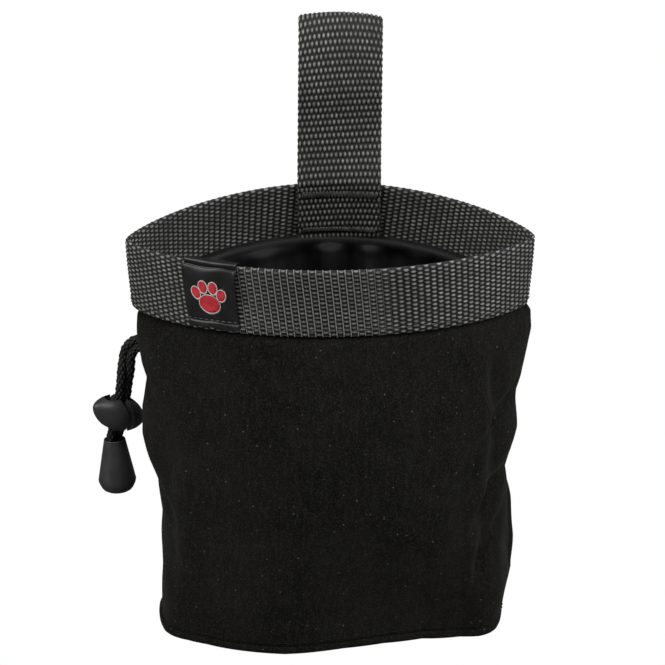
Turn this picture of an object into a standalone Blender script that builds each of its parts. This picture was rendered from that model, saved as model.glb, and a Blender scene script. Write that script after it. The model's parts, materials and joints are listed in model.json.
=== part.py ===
# Treat pouch: a soft standing bag with a webbing rim, a webbing belt loop, a nylon lining with a
# drawstring, and a spring cord lock and a bell-shaped cord end on the drawstring's tail.
# Metres, +Z up. The origin is the bottom centre of the pouch's box, the front faces -Y, the
# drawstring leaves the bag on the -X side and the belt loop stands at the back.

import math

import bmesh
import bpy
from mathutils import Matrix, Vector

OBJECT_NAME = "treat_pouch"

# ---- driving dimensions, metres ----
GAP = 0.0003                  # clearance between pieces that touch
BASE_CENTRE_Y = -0.0030       # the round base lies a little in front of the box's centre

# The bag's horizontal sections: height, half width, depth of the front half, depth of the back
# half, and how pointed the left and right corners are (1 is an ellipse, more is a lens).
SECTIONS = (
    (0.000, 0.0600, 0.0420, 0.0420, 1.00),
    (0.045, 0.0625, 0.0440, 0.0460, 1.10),
    (0.085, 0.0655, 0.0425, 0.0500, 1.30),
    (0.120, 0.0690, 0.0370, 0.0520, 1.60),
    (0.147, 0.0712, 0.0405, 0.0460, 1.75),
)
CORNER_SHIFT_Y = -0.0030      # the rim's corners lie this far in front of the base's centre
CORNER_INSET = 1.25           # at the corners a layer's inset grows by this
RIM_HEIGHT = 0.1450           # mean height of the rim's top edge
RIM_RISE_BACK = 0.0020        # the back edge is higher and the front edge lower by this
RIM_RISE_RIGHT = 0.0008       # the right corner is higher and the left corner lower by this
RIM_WEBBING_WIDTH = 0.0250
LOOP_WEBBING_WIDTH = 0.0300
WEBBING_THICKNESS = 0.0016
FABRIC_THICKNESS = 0.0010
LINING_THICKNESS = 0.0006
LINING_STAND_OFF = 0.0007     # from the back of the outer fabric, which leaves room at the corners
SIDE_SEAM_SETBACK = 0.0011    # from the corner's middle to each wall's edge
COLUMNS_AROUND = 52

BASE_THICKNESS = 0.0016
BASE_UPSTAND = 0.0035         # the base is turned up this high to meet the walls

DRAWSTRING_DIAMETER = 0.0030
STRAND_SPACING = 0.0032       # between the centre lines of the two strands
CASING_HALF_HEIGHT = 0.0046
CASING_INSET = 0.0034
CASING_DEPTH = 0.0043

EXIT_HEIGHT = 0.0985          # height of the eyelet's centre
EXIT_ANGLE = math.radians(160.0)  # where round the section the eyelet sits
EYELET_FLANGE_RADIUS = 0.0056
EYELET_TUBE_RADIUS = 0.0042
EYELET_HOLE_RADIUS = 0.0035
EYELET_FLANGE_THICKNESS = 0.0008
EYELET_STAND_OFF = 0.0009     # the flat flange stands this far off the curved wall
EYELET_LENGTH = 0.0034

CORD_BEND_RADIUS = 0.0076     # of the middle between the two strands
CORD_STRAIGHT_OUT = 0.0030
CORD_DROP = 0.0295            # from the end of the bend down to the bell's mouth
CORD_DROP_OUTWARD = 0.0044    # the drop leans outward by this over its height
CORD_INTO_BELL = 0.0065
STRANDS_TURN_WITHIN = 0.0085  # the strands turn to lie along the lock within this drop
LOCK_BELOW_BEND = 0.0183      # the cord lock's centre, along the drop from the end of the bend

LOCK_HALF_LENGTH = 0.0105
LOCK_RADIUS = 0.0067
LOCK_TURN = math.radians(60.0)    # how far the lock's long axis turns from the wall's normal
LOCK_BORE_RADIUS = 0.0042
LOCK_MOUTH = 0.0052           # the barrel's open end, along its long axis
LOCK_BORE_BOTTOM = -0.0084
CORD_SLOT_LENGTH = 0.0084
CORD_SLOT_WIDTH = 0.0046
PLUNGER_RADIUS = 0.0039
PLUNGER_SLOT_LENGTH = 0.0094  # longer than the barrel's by what the plunger's travel needs
PLUNGER_SLOT_SHIFT = 0.0012
PLUNGER_END = -0.0048
PLUNGER_HEAD_START = 0.0076
SPRING_WIRE = 0.0004
SPRING_RADIUS = 0.0028
SPRING_TURNS = 3

BELL_HEIGHT = 0.0205
BELL_TOP_RADIUS = 0.00385
BELL_BOTTOM_RADIUS = 0.00655
BELL_HOLE_RADIUS = 0.00330
BELL_WALL = 0.0011
BELL_CAVITY_DEPTH = 0.0050    # the mouth's straight hole, above the cavity
BELL_CAP_HEIGHT = 0.0030
KNOT_RADIUS = 0.0036

LOOP_CENTRE_X = 0.0036
LOOP_HINGE_HEIGHT = 0.1492
LOOP_FREE_START = 0.0022      # the free loop starts this far above its hinge line
INNER_LEG_LENGTH = 0.0205     # sewn inside the rim, above the hems
OUTER_LEG_LENGTH = 0.0215     # sewn outside the rim

LABEL_WIDTH = 0.0200
LABEL_CENTRE_X = -0.0402
LABEL_HEIGHT = 0.0243
LABEL_INNER_HEIGHT = 0.0196   # of the label's leg inside the rim
LABEL_THICKNESS = 0.0006
EMBLEM_RADIUS = 0.0052        # half of the emblem's width
EMBLEM_HALF_HEIGHT = 0.0044
EMBLEM_DROP = 0.0130          # the emblem's centre, below the rim's top edge
LABEL_STITCH_RISE = 0.0008    # the stitches' band, above the label's lower edge
LABEL_STITCH_WIDTH = 0.0012
STITCH_THICKNESS = 0.0004
STITCH_WIDTH = 0.0008
STAND_OFF = 0.0001            # extra clearance between layers that lie on one another
BASE_SEAM_RISE = 0.0012       # the base seam's thread, above the base's turned-up edge
RIM_SEAM_RISE = 0.0018        # the rim's thread, above the rim's lower edge
WALL_BELOW_RIM_EDGE = 0.0010  # the wall starts to tuck in here and ends behind the rim
WALL_ABOVE_RIM_EDGE = 0.0035
LINING_BELOW_RIM_EDGE = 0.0012
LINING_ABOVE_RIM_EDGE = 0.0024
LOOP_STITCH_INDENT = 0.0006   # the bar stitches stop this far inside the strap's edges
UPPER_BAR = (0.0064, 0.0034)  # the two bars' lower and upper edges, below the rim's top
LOWER_BAR = (0.0195, 0.0177)
LOOP_STRAIGHT_END = 0.1985    # height where the loop's front leg starts to curve
LABEL_STITCH_INDENT = 0.0008


# ---- collections and materials ----
def start_clean():
    for old in list(bpy.data.objects):
        bpy.data.objects.remove(old, do_unlink=True)
    for group in list(bpy.data.collections):
        bpy.data.collections.remove(group)


def new_collection(name):
    group = bpy.data.collections.new(name)
    bpy.context.scene.collection.children.link(group)
    return group


def new_material(name, colour, roughness, metallic=0.0):
    material = bpy.data.materials.new(name)
    material.use_nodes = True
    shader = material.node_tree.nodes["Principled BSDF"]
    shader.inputs["Base Color"].default_value = (*colour, 1.0)
    shader.inputs["Roughness"].default_value = roughness
    shader.inputs["Metallic"].default_value = metallic
    return material


MATERIALS = {
    "suede": ((0.008, 0.007, 0.006), 0.95, 0.0),
    "webbing": ((0.120, 0.120, 0.110), 0.70, 0.0),
    "nylon": ((0.012, 0.012, 0.013), 0.55, 0.0),
    "cord": ((0.010, 0.010, 0.010), 0.85, 0.0),
    "plastic": ((0.025, 0.026, 0.027), 0.45, 0.0),
    "spring_steel": ((0.500, 0.500, 0.510), 0.30, 1.0),
    "eyelet_metal": ((0.040, 0.040, 0.042), 0.40, 0.9),
    "satin": ((0.015, 0.015, 0.016), 0.40, 0.0),
    "red_thread": ((0.450, 0.030, 0.040), 0.60, 0.0),
    "grey_thread": ((0.150, 0.150, 0.145), 0.80, 0.0),
    "black_thread": ((0.015, 0.015, 0.015), 0.80, 0.0),
}


def add_object(name, mesh_or_curve, finish, group=None):
    piece = bpy.data.objects.new(name, mesh_or_curve)
    colour, roughness, metallic = MATERIALS[finish]
    piece.data.materials.append(new_material(name + "_" + finish, colour, roughness, metallic))
    (group or PARTS).objects.link(piece)
    return piece


def hide_as_cutter(piece):
    piece.hide_render = True
    piece.display_type = "WIRE"


def subtract(piece, cutter):
    cut = piece.modifiers.new("cut_" + cutter.name, "BOOLEAN")
    cut.operation = "DIFFERENCE"
    cut.solver = "EXACT"
    cut.object = cutter


# ---- the bag's shape ----
def blend_rows(height, column):
    """A value of SECTIONS at this height, smooth through the rows (Catmull-Rom)."""
    heights = [row[0] for row in SECTIONS]
    last = len(SECTIONS) - 2
    i = min(max(sum(h <= height for h in heights) - 1, 0), last)
    before, after = max(i - 1, 0), min(i + 2, last + 1)
    values = [SECTIONS[k][column] for k in (before, i, i + 1, after)]
    span = heights[i + 1] - heights[i]
    u = (height - heights[i]) / span
    slope_0 = (values[2] - values[0]) / (heights[i + 1] - heights[before]) * span
    slope_1 = (values[3] - values[1]) / (heights[after] - heights[i]) * span
    return (
        (2 * u**3 - 3 * u**2 + 1) * values[1]
        + (u**3 - 2 * u**2 + u) * slope_0
        + (3 * u**2 - 2 * u**3) * values[2]
        + (u**3 - u**2) * slope_1
    )


def wall_point(angle, height, inset):
    """A point of the section made smaller all round by inset, so that layers nest."""
    half_width = blend_rows(height, 1) - inset * CORNER_INSET
    depth = blend_rows(height, 3 if math.sin(angle) > 0 else 2) - inset
    point = blend_rows(height, 4)
    across = math.sin(angle) * abs(math.sin(angle)) ** (point - 1)
    centre_y = BASE_CENTRE_Y + CORNER_SHIFT_Y * height / RIM_HEIGHT
    return Vector((half_width * math.cos(angle), centre_y + depth * across, height))


def section_point(angle, height):
    return wall_point(angle, height, 0.0)


def outward(angle, height):
    """The horizontal unit normal of the section, pointing out of the bag."""
    step = 0.02
    along = section_point(angle + step, height) - section_point(angle - step, height)
    return Vector((along.y, -along.x, 0)).normalized()


def rim_top(angle):
    return RIM_HEIGHT + RIM_RISE_BACK * math.sin(angle) + RIM_RISE_RIGHT * math.cos(angle)


def rim_bottom(angle):
    return rim_top(angle) - RIM_WEBBING_WIDTH * 0.988


def angle_at_x(x, height, back):
    """The section angle where the wall is at this x, on the front or the back half."""
    angle = math.acos(max(-1.0, min(1.0, x / blend_rows(height, 1))))
    return angle if back else -angle


def grid_mesh(name, rows, closed):
    """An open surface through rows of points, each row running round the bag."""
    mesh = bpy.data.meshes.new(name)
    build = bmesh.new()
    grid = [[build.verts.new(point) for point in row] for row in rows]
    columns = len(rows[0])
    for lower, upper in zip(grid, grid[1:]):
        for c in range(columns if closed else columns - 1):
            d = (c + 1) % columns
            build.faces.new((lower[c], lower[d], upper[d], upper[c]))
    build.to_mesh(mesh)
    build.free()
    return mesh


def add_shell(name, finish, rows, thickness, closed):
    """A cloth shell: the outer surface, thickened inward."""
    piece = add_object(name, grid_mesh(name, rows, closed), finish)
    solid = piece.modifiers.new("thickness", "SOLIDIFY")
    solid.thickness = thickness
    solid.offset = -1
    solid.use_even_offset = True
    return piece


def ring_angles():
    return [2 * math.pi * i / COLUMNS_AROUND for i in range(COLUMNS_AROUND)]


def span_angles(start, end, count):
    return [start + (end - start) * i / (count - 1) for i in range(count)]


def patch_rows(angles, heights_of, insets):
    """Rows of a patch: heights_of is one function of the angle for each row."""
    return [
        [wall_point(a, height_of(a), inset) for a in angles]
        for height_of, inset in zip(heights_of, insets)
    ]


def wall_share(share):
    return lambda a: rim_bottom(a) * share


def above_rim_bottom(rise):
    return lambda a: rim_bottom(a) + rise


def below_rim_top(drop):
    return lambda a: rim_top(a) - drop


UNDER_RIM_INSET = WEBBING_THICKNESS + GAP + STAND_OFF
WALL_SHARES = (0.20, 0.42, 0.64, 0.82, 0.94)


def seam_angle(height, inset, back):
    """How far the wall's edge stays from the corner, so that the two halves don't touch."""
    depth = blend_rows(height, 3 if back else 2)
    set_back = SIDE_SEAM_SETBACK + inset * 0.5
    return math.asin((set_back / depth) ** (1 / blend_rows(height, 4)))


def fabric_wall(name, start, end, back):
    """Half of the suede wall, from the turned-up base to its hem inside the rim webbing."""
    heights = [lambda a: BASE_UPSTAND + GAP]
    heights += [wall_share(share) for share in WALL_SHARES]
    heights += [above_rim_bottom(-WALL_BELOW_RIM_EDGE), above_rim_bottom(WALL_ABOVE_RIM_EDGE)]
    insets = [0.0] * (1 + len(WALL_SHARES)) + [UNDER_RIM_INSET] * 2
    rows = []
    for height_of, inset in zip(heights, insets):
        set_back = seam_angle(height_of(start), inset, back)
        angles = span_angles(start + set_back, end - set_back, COLUMNS_AROUND // 2 + 1)
        rows += patch_rows(angles, [height_of], [inset])
    return add_shell(name, "suede", rows, FABRIC_THICKNESS, False)


def make_walls():
    """The front and back panels; the back one carries the eyelet."""
    fabric_wall("front_panel", math.pi, 2 * math.pi, False)
    return fabric_wall("back_panel", 0.0, math.pi, True)


def make_base():
    """The flat base with its edge turned up to the wall seam."""
    name = "base_panel"
    mesh = bpy.data.meshes.new(name)
    build = bmesh.new()
    rings = (
        (0.0000, 0.0006), (0.0004, 0.0), (BASE_UPSTAND, 0.0),
        (BASE_UPSTAND, FABRIC_THICKNESS), (BASE_THICKNESS, FABRIC_THICKNESS),
    )
    loops = [
        [build.verts.new(wall_point(a, height, inset)) for a in ring_angles()]
        for height, inset in rings
    ]
    for lower, upper in zip(loops, loops[1:]):
        for i in range(COLUMNS_AROUND):
            j = (i + 1) % COLUMNS_AROUND
            build.faces.new((lower[i], lower[j], upper[j], upper[i]))
    build.faces.new(list(reversed(loops[0])))
    build.faces.new(loops[-1])
    build.to_mesh(mesh)
    build.free()
    return add_object(name, mesh, "suede")


def make_seams():
    """The thread of the base seam and of the rim's lower edge."""
    angles = ring_angles()
    seam_height = BASE_UPSTAND + BASE_SEAM_RISE
    seam = patch_rows(
        angles,
        [lambda a: seam_height, lambda a: seam_height + STITCH_WIDTH],
        [-(GAP + STITCH_THICKNESS)] * 2,
    )
    add_shell("base_seam_thread", "black_thread", seam, STITCH_THICKNESS, True)
    clear = LABEL_WIDTH / 2 + 4 * GAP
    label_left, label_right = label_angles(clear, 2)
    rim = patch_rows(
        span_angles(label_right, label_left + 2 * math.pi, COLUMNS_AROUND),
        [above_rim_bottom(RIM_SEAM_RISE), above_rim_bottom(RIM_SEAM_RISE + STITCH_WIDTH)],
        [-(GAP + STITCH_THICKNESS)] * 2,
    )
    add_shell("rim_stitch_thread", "grey_thread", rim, STITCH_THICKNESS, False)


def make_rim():
    angles = ring_angles()
    heights = [rim_bottom, lambda a: (rim_bottom(a) + rim_top(a)) / 2, rim_top]
    rows = patch_rows(angles, heights, [0.0] * 3)
    add_shell("rim_band", "webbing", rows, WEBBING_THICKNESS, True)


def make_lining():
    """The nylon wall from the base to its hem over the webbing's inner edge, and its floor."""
    angles = ring_angles()
    behind = FABRIC_THICKNESS + LINING_STAND_OFF
    floor = BASE_THICKNESS + GAP
    heights = [lambda a: floor + LINING_THICKNESS + GAP]
    heights += [wall_share(share) for share in WALL_SHARES]
    heights += [
        above_rim_bottom(-LINING_BELOW_RIM_EDGE), above_rim_bottom(LINING_ABOVE_RIM_EDGE),
    ]
    insets = [behind] * (1 + len(WALL_SHARES)) + [UNDER_RIM_INSET + behind + STAND_OFF] * 2
    rows = patch_rows(angles, heights, insets)
    wall = add_shell("lining_wall", "nylon", rows, LINING_THICKNESS, True)

    name = "lining_floor"
    mesh = bpy.data.meshes.new(name)
    build = bmesh.new()
    edge = [build.verts.new(wall_point(a, floor + LINING_THICKNESS, behind)) for a in angles]
    build.faces.new(edge)
    build.to_mesh(mesh)
    build.free()
    floor_piece = add_object(name, mesh, "nylon")
    solid = floor_piece.modifiers.new("thickness", "SOLIDIFY")
    solid.thickness = LINING_THICKNESS
    solid.offset = -1
    return wall


def make_casing():
    """The sewn tape channel that holds the drawstring against the lining."""
    tape = LINING_THICKNESS
    deep = CASING_INSET + CASING_DEPTH
    half = CASING_HALF_HEIGHT
    profile = (
        (CASING_INSET, -half), (CASING_INSET, -half + tape), (deep - tape, -half + tape),
        (deep - tape, half - tape), (CASING_INSET, half - tape), (CASING_INSET, half),
        (deep, half), (deep, -half),
    )
    name = "drawstring_casing"
    mesh = bpy.data.meshes.new(name)
    build = bmesh.new()
    loops = [
        [build.verts.new(wall_point(a, EXIT_HEIGHT + rise, inset)) for a in ring_angles()]
        for inset, rise in profile
    ]
    loops.append(loops[0])
    for lower, upper in zip(loops, loops[1:]):
        for i in range(COLUMNS_AROUND):
            j = (i + 1) % COLUMNS_AROUND
            build.faces.new((lower[i], lower[j], upper[j], upper[i]))
    build.to_mesh(mesh)
    build.free()
    return add_object(name, mesh, "nylon")


# ---- curves ----
def smooth_path(points, count):
    """Evenly spaced points on a smooth curve through the given points."""
    points = [Vector(p) for p in points]
    ends = [2 * points[0] - points[1]] + points + [2 * points[-1] - points[-2]]
    fine = []
    steps = 12
    for p0, p1, p2, p3 in zip(ends, ends[1:], ends[2:], ends[3:]):
        for k in range(steps):
            u = k / steps
            fine.append(
                0.5 * (2 * p1 + (p2 - p0) * u + (2 * p0 - 5 * p1 + 4 * p2 - p3) * u**2
                       + (3 * p1 - p0 - 3 * p2 + p3) * u**3)
            )
    fine.append(points[-1])
    lengths = [0.0]
    for a, b in zip(fine, fine[1:]):
        lengths.append(lengths[-1] + (b - a).length)
    path = []
    k = 0
    for i in range(count):
        target = lengths[-1] * i / (count - 1)
        while k < len(fine) - 2 and lengths[k + 1] < target:
            k += 1
        run = lengths[k + 1] - lengths[k]
        path.append(fine[k].lerp(fine[k + 1], min(1.0, (target - lengths[k]) / run)))
    return path


def add_tube(name, finish, path, diameter, sides_level=2):
    """A round cord along this path; a higher level gives it more sides."""
    curve = bpy.data.curves.new(name, "CURVE")
    curve.dimensions = "3D"
    curve.bevel_depth = diameter / 2
    curve.bevel_resolution = sides_level
    curve.use_fill_caps = True
    spline = curve.splines.new("POLY")
    spline.points.add(len(path) - 1)
    for spot, point in zip(spline.points, path):
        spot.co = (*point, 1.0)
    return add_object(name, curve, finish)


# ---- the drawstring's way out ----
EXIT_POINT = section_point(EXIT_ANGLE, EXIT_HEIGHT)
EXIT_OUT = outward(EXIT_ANGLE, EXIT_HEIGHT)
UP = Vector((0, 0, 1))


def exit_frame(distance_out, rise):
    """A point in the upright plane through the eyelet along its outward direction."""
    return EXIT_POINT + EXIT_OUT * distance_out + UP * rise


BEND_END = Vector((CORD_STRAIGHT_OUT + CORD_BEND_RADIUS, -CORD_BEND_RADIUS))
DROP_END = BEND_END + Vector((CORD_DROP_OUTWARD, -CORD_DROP))
DROP_SLOPE = (DROP_END - BEND_END).normalized()
DOWN = (EXIT_OUT * DROP_SLOPE.x + UP * DROP_SLOPE.y).normalized()
ACROSS_STRANDS = (EXIT_OUT * -DROP_SLOPE.y + UP * DROP_SLOPE.x).normalized()
LOCK_CENTRE = exit_frame(*BEND_END) + DOWN * LOCK_BELOW_BEND
BELL_MOUTH = exit_frame(*DROP_END)


def lock_axes():
    """The lock's long axis, square to the cord, and its third axis."""
    towards = Matrix.Rotation(LOCK_TURN, 3, "Z") @ EXIT_OUT
    long_axis = (towards - DOWN * towards.dot(DOWN)).normalized()
    return long_axis, DOWN.cross(long_axis).normalized()


LOCK_LONG, LOCK_SIDE = lock_axes()


def strand_route(side):
    """Points of one strand: side +1 is the outer strand and -1 the inner one."""
    half = side * STRAND_SPACING / 2
    radius = CORD_BEND_RADIUS + half
    start_in = -(EYELET_LENGTH - EYELET_STAND_OFF)
    route = [exit_frame(start_in, half), exit_frame(0.0, half)]
    lean = math.atan2(DROP_SLOPE.x, -DROP_SLOPE.y)
    turn_steps = 7
    for k in range(turn_steps):
        turn = (math.pi / 2 - lean) * k / (turn_steps - 1)
        out = CORD_STRAIGHT_OUT + radius * math.sin(turn)
        rise = -CORD_BEND_RADIUS + radius * math.cos(turn)
        route.append(exit_frame(out, rise))
    drop_steps = 9
    for k in range(1, drop_steps + 1):
        along = (CORD_DROP + CORD_INTO_BELL) * k / drop_steps
        turned = ACROSS_STRANDS.lerp(LOCK_LONG, min(1.0, along / STRANDS_TURN_WITHIN)).normalized()
        route.append(exit_frame(*BEND_END) + DOWN * along + turned * half)
    return route


def make_strands():
    for name, side in (("cord_strand_inner", -1), ("cord_strand_outer", 1)):
        add_tube(name, "cord", smooth_path(strand_route(side), 26), DRAWSTRING_DIAMETER)


def make_drawstring_loop():
    """The part of the drawstring that runs round inside its casing, open at the eyelet."""
    inset = CASING_INSET + GAP + DRAWSTRING_DIAMETER / 2 + 2 * STAND_OFF
    gap_angle = 0.05
    count = 44
    angles = span_angles(EXIT_ANGLE + gap_angle, EXIT_ANGLE + 2 * math.pi - gap_angle, count)
    path = [wall_point(a, EXIT_HEIGHT, inset) for a in angles]
    add_tube("drawstring_loop", "cord", path, DRAWSTRING_DIAMETER)


def turned_piece(name, finish, profile, steps=32):
    """A turned shape about its own Z axis: the profile runs down the outer side at +X."""
    mesh = bpy.data.meshes.new(name)
    build = bmesh.new()
    line = [build.verts.new((radius, 0, height)) for radius, height in profile]
    for a, b in zip(line, line[1:]):
        build.edges.new((a, b))
    build.to_mesh(mesh)
    build.free()
    piece = add_object(name, mesh, finish)
    screw = piece.modifiers.new("turn", "SCREW")
    screw.axis = "Z"
    screw.angle = 2 * math.pi
    screw.steps = steps
    screw.render_steps = steps
    screw.use_merge_vertices = True
    screw.merge_threshold = 0.00001
    return piece


def place(piece, centre, z_axis, x_hint):
    """Puts a piece's own frame at centre, its Z along z_axis and its X near x_hint."""
    z = z_axis.normalized()
    y = z.cross(x_hint).normalized()
    x = y.cross(z)
    frame = Matrix((x, y, z)).transposed().to_4x4()
    frame.translation = centre
    piece.matrix_world = frame


def make_eyelet(back, lining):
    """The eyelet round the drawstring's exit, its washer inside, and the holes for them."""
    flange, tube, hole = EYELET_FLANGE_RADIUS, EYELET_TUBE_RADIUS, EYELET_HOLE_RADIUS
    thick = EYELET_FLANGE_THICKNESS
    eyelet = turned_piece("eyelet", "eyelet_metal", (
        (hole, thick), (flange - thick / 2, thick), (flange, thick / 2), (flange, 0.0),
        (tube, 0.0), (tube, thick - EYELET_LENGTH), (hole, thick - EYELET_LENGTH), (hole, thick),
    ))
    place(eyelet, EXIT_POINT + EXIT_OUT * EYELET_STAND_OFF, EXIT_OUT, UP)
    cutter_mesh = bpy.data.meshes.new("eyelet_hole")
    build = bmesh.new()
    radius = tube + GAP
    bmesh.ops.create_cone(build, cap_ends=True, segments=32, radius1=radius, radius2=radius,
                          depth=0.016)
    build.to_mesh(cutter_mesh)
    build.free()
    cutter = bpy.data.objects.new("eyelet_hole", cutter_mesh)
    CUTTERS.objects.link(cutter)
    hide_as_cutter(cutter)
    place(cutter, EXIT_POINT, EXIT_OUT, UP)
    subtract(back, cutter)
    subtract(lining, cutter)


# ---- the cord lock ----
def egg_radius(along):
    """The lock's outer radius at this place on its long axis: pointed at both ends."""
    share = min(1.0, abs(along) / LOCK_HALF_LENGTH)
    return LOCK_RADIUS * (1 - share**2.2) ** 0.62


def slot_cutter(name, length, width, shift):
    """A slot for the two strands, cut through along the cord."""
    mesh = bpy.data.meshes.new(name)
    build = bmesh.new()
    bmesh.ops.create_cube(build, size=1.0)
    bmesh.ops.scale(build, vec=(length, width, 0.030), verts=build.verts)
    upright = [e for e in build.edges if abs(e.verts[0].co.z - e.verts[1].co.z) > 0.01]
    bmesh.ops.bevel(build, geom=upright, offset=width * 0.42, segments=4, affect="EDGES",
                    profile=0.5)
    build.to_mesh(mesh)
    build.free()
    cutter = bpy.data.objects.new(name, mesh)
    CUTTERS.objects.link(cutter)
    hide_as_cutter(cutter)
    place(cutter, LOCK_CENTRE + LOCK_LONG * shift, DOWN, LOCK_LONG)
    return cutter


def make_lock():
    """The spring cord lock: barrel, plunger with its button head, and the spring between."""
    steps = 7
    outside = []
    for k in range(steps + 1):
        along = LOCK_MOUTH - (LOCK_MOUTH + LOCK_HALF_LENGTH) * k / steps
        outside.append((egg_radius(along), along))
    outside[-1] = (0.0, -LOCK_HALF_LENGTH)
    bore = LOCK_BORE_RADIUS
    barrel = turned_piece("cord_lock_barrel", "plastic", (
        [(0.0, LOCK_BORE_BOTTOM), (bore, LOCK_BORE_BOTTOM), (bore, LOCK_MOUTH)] + outside
    ), 28)
    place(barrel, LOCK_CENTRE, LOCK_LONG, DOWN)
    subtract(barrel, slot_cutter("barrel_slot", CORD_SLOT_LENGTH, CORD_SLOT_WIDTH, 0.0))

    head = []
    head_steps = 5
    for k in range(head_steps + 1):
        along = LOCK_HALF_LENGTH - (LOCK_HALF_LENGTH - PLUNGER_HEAD_START) * k / head_steps
        head.append((egg_radius(along), along))
    head[0] = (0.0, LOCK_HALF_LENGTH)
    plunger = turned_piece("cord_lock_plunger", "plastic", (
        head + [(PLUNGER_RADIUS, PLUNGER_HEAD_START), (PLUNGER_RADIUS, PLUNGER_END),
                (0.0, PLUNGER_END)]
    ), 28)
    place(plunger, LOCK_CENTRE, LOCK_LONG, DOWN)
    subtract(plunger, slot_cutter("plunger_slot", PLUNGER_SLOT_LENGTH, CORD_SLOT_WIDTH,
                                  PLUNGER_SLOT_SHIFT))

    bottom = LOCK_BORE_BOTTOM + GAP + SPRING_WIRE / 2
    top = PLUNGER_END - GAP - SPRING_WIRE / 2
    points_a_turn = 10
    path = []
    for k in range(SPRING_TURNS * points_a_turn + 1):
        turn = 2 * math.pi * k / points_a_turn
        rise = bottom + (top - bottom) * k / (SPRING_TURNS * points_a_turn)
        spot = LOCK_SIDE * math.cos(turn) + DOWN * math.sin(turn)
        path.append(LOCK_CENTRE + LOCK_LONG * rise + spot * SPRING_RADIUS)
    add_tube("cord_lock_spring", "spring_steel", path, SPRING_WIRE, 1)


# ---- the cord end ----
def make_bell():
    """The bell over the knot at the drawstring's end, with the cap that closes it."""
    body_end = -(BELL_HEIGHT - BELL_CAP_HEIGHT)
    cavity_radius = BELL_BOTTOM_RADIUS - BELL_WALL
    bell = turned_piece("cord_end_bell", "plastic", (
        (BELL_HOLE_RADIUS, 0.0), (BELL_TOP_RADIUS - 0.0002, 0.0), (BELL_TOP_RADIUS, -0.0004),
        (BELL_TOP_RADIUS + 0.0007, -0.0055), (BELL_BOTTOM_RADIUS - 0.0004, -0.0130),
        (BELL_BOTTOM_RADIUS, -0.0150), (BELL_BOTTOM_RADIUS, body_end),
        (cavity_radius, body_end), (cavity_radius, -0.0140),
        (BELL_HOLE_RADIUS + 0.0006, -BELL_CAVITY_DEPTH - 0.0010),
        (BELL_HOLE_RADIUS, -BELL_CAVITY_DEPTH), (BELL_HOLE_RADIUS, 0.0),
    ), 32)
    place(bell, BELL_MOUTH, -DOWN, EXIT_OUT)
    rim = body_end - GAP
    cap = turned_piece("cord_end_cap", "plastic", (
        (0.0, rim + 0.0018), (cavity_radius - GAP, rim + 0.0018), (cavity_radius - GAP, rim),
        (BELL_BOTTOM_RADIUS, rim), (BELL_BOTTOM_RADIUS - 0.0003, rim - 0.0010),
        (BELL_BOTTOM_RADIUS - 0.0014, rim - 0.0021), (0.0, -BELL_HEIGHT),
    ), 32)
    place(cap, BELL_MOUTH, -DOWN, EXIT_OUT)

    mesh = bpy.data.meshes.new("cord_knot")
    build = bmesh.new()
    bmesh.ops.create_uvsphere(build, u_segments=14, v_segments=8, radius=KNOT_RADIUS)
    build.to_mesh(mesh)
    build.free()
    knot = add_object("cord_knot", mesh, "cord")
    centre_depth = CORD_INTO_BELL + KNOT_RADIUS + 2 * GAP + 0.0004
    place(knot, BELL_MOUTH + DOWN * centre_depth, -DOWN, EXIT_OUT)


# ---- the belt loop ----
def loop_patch(name, finish, x_half, low, high, inset, thickness, columns=9):
    """A patch of strap on the back of the rim, between two drops below its top edge."""
    centre = LOOP_CENTRE_X
    height = RIM_HEIGHT + RIM_RISE_BACK - (low + high) / 2
    start = angle_at_x(centre + x_half, height, True)
    end = angle_at_x(centre - x_half, height, True)
    angles = span_angles(start, end, columns)
    steps = 3
    heights = [below_rim_top(low + (high - low) * k / (steps - 1)) for k in range(steps)]
    rows = patch_rows(angles, heights, [inset] * steps)
    return add_shell(name, finish, rows, thickness, False)


HINGE_Y = section_point(math.pi / 2, RIM_HEIGHT + RIM_RISE_BACK).y - WEBBING_THICKNESS / 2


def loop_profile():
    """The free loop's centre line from the front leg's foot over the top to the back leg's."""
    leg = WEBBING_THICKNESS + GAP
    foot = LOOP_HINGE_HEIGHT + LOOP_FREE_START
    front_y = HINGE_Y - leg
    straight = LOOP_STRAIGHT_END - foot
    points = [(front_y, foot + straight * k / 4) for k in range(5)]
    points += [
        (front_y + 0.0006, 0.2035), (front_y + 0.0022, 0.2078), (front_y + 0.0048, 0.20965),
        (front_y + 0.0074, 0.2080), (front_y + 0.0090, 0.2040), (front_y + 0.0098, 0.1960),
        (front_y + 0.0100, 0.1860), (front_y + 0.0092, 0.1760), (front_y + 0.0075, 0.1650),
        (front_y + 0.0056, 0.1570), (HINGE_Y + leg, foot),
    ]
    return points


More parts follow.
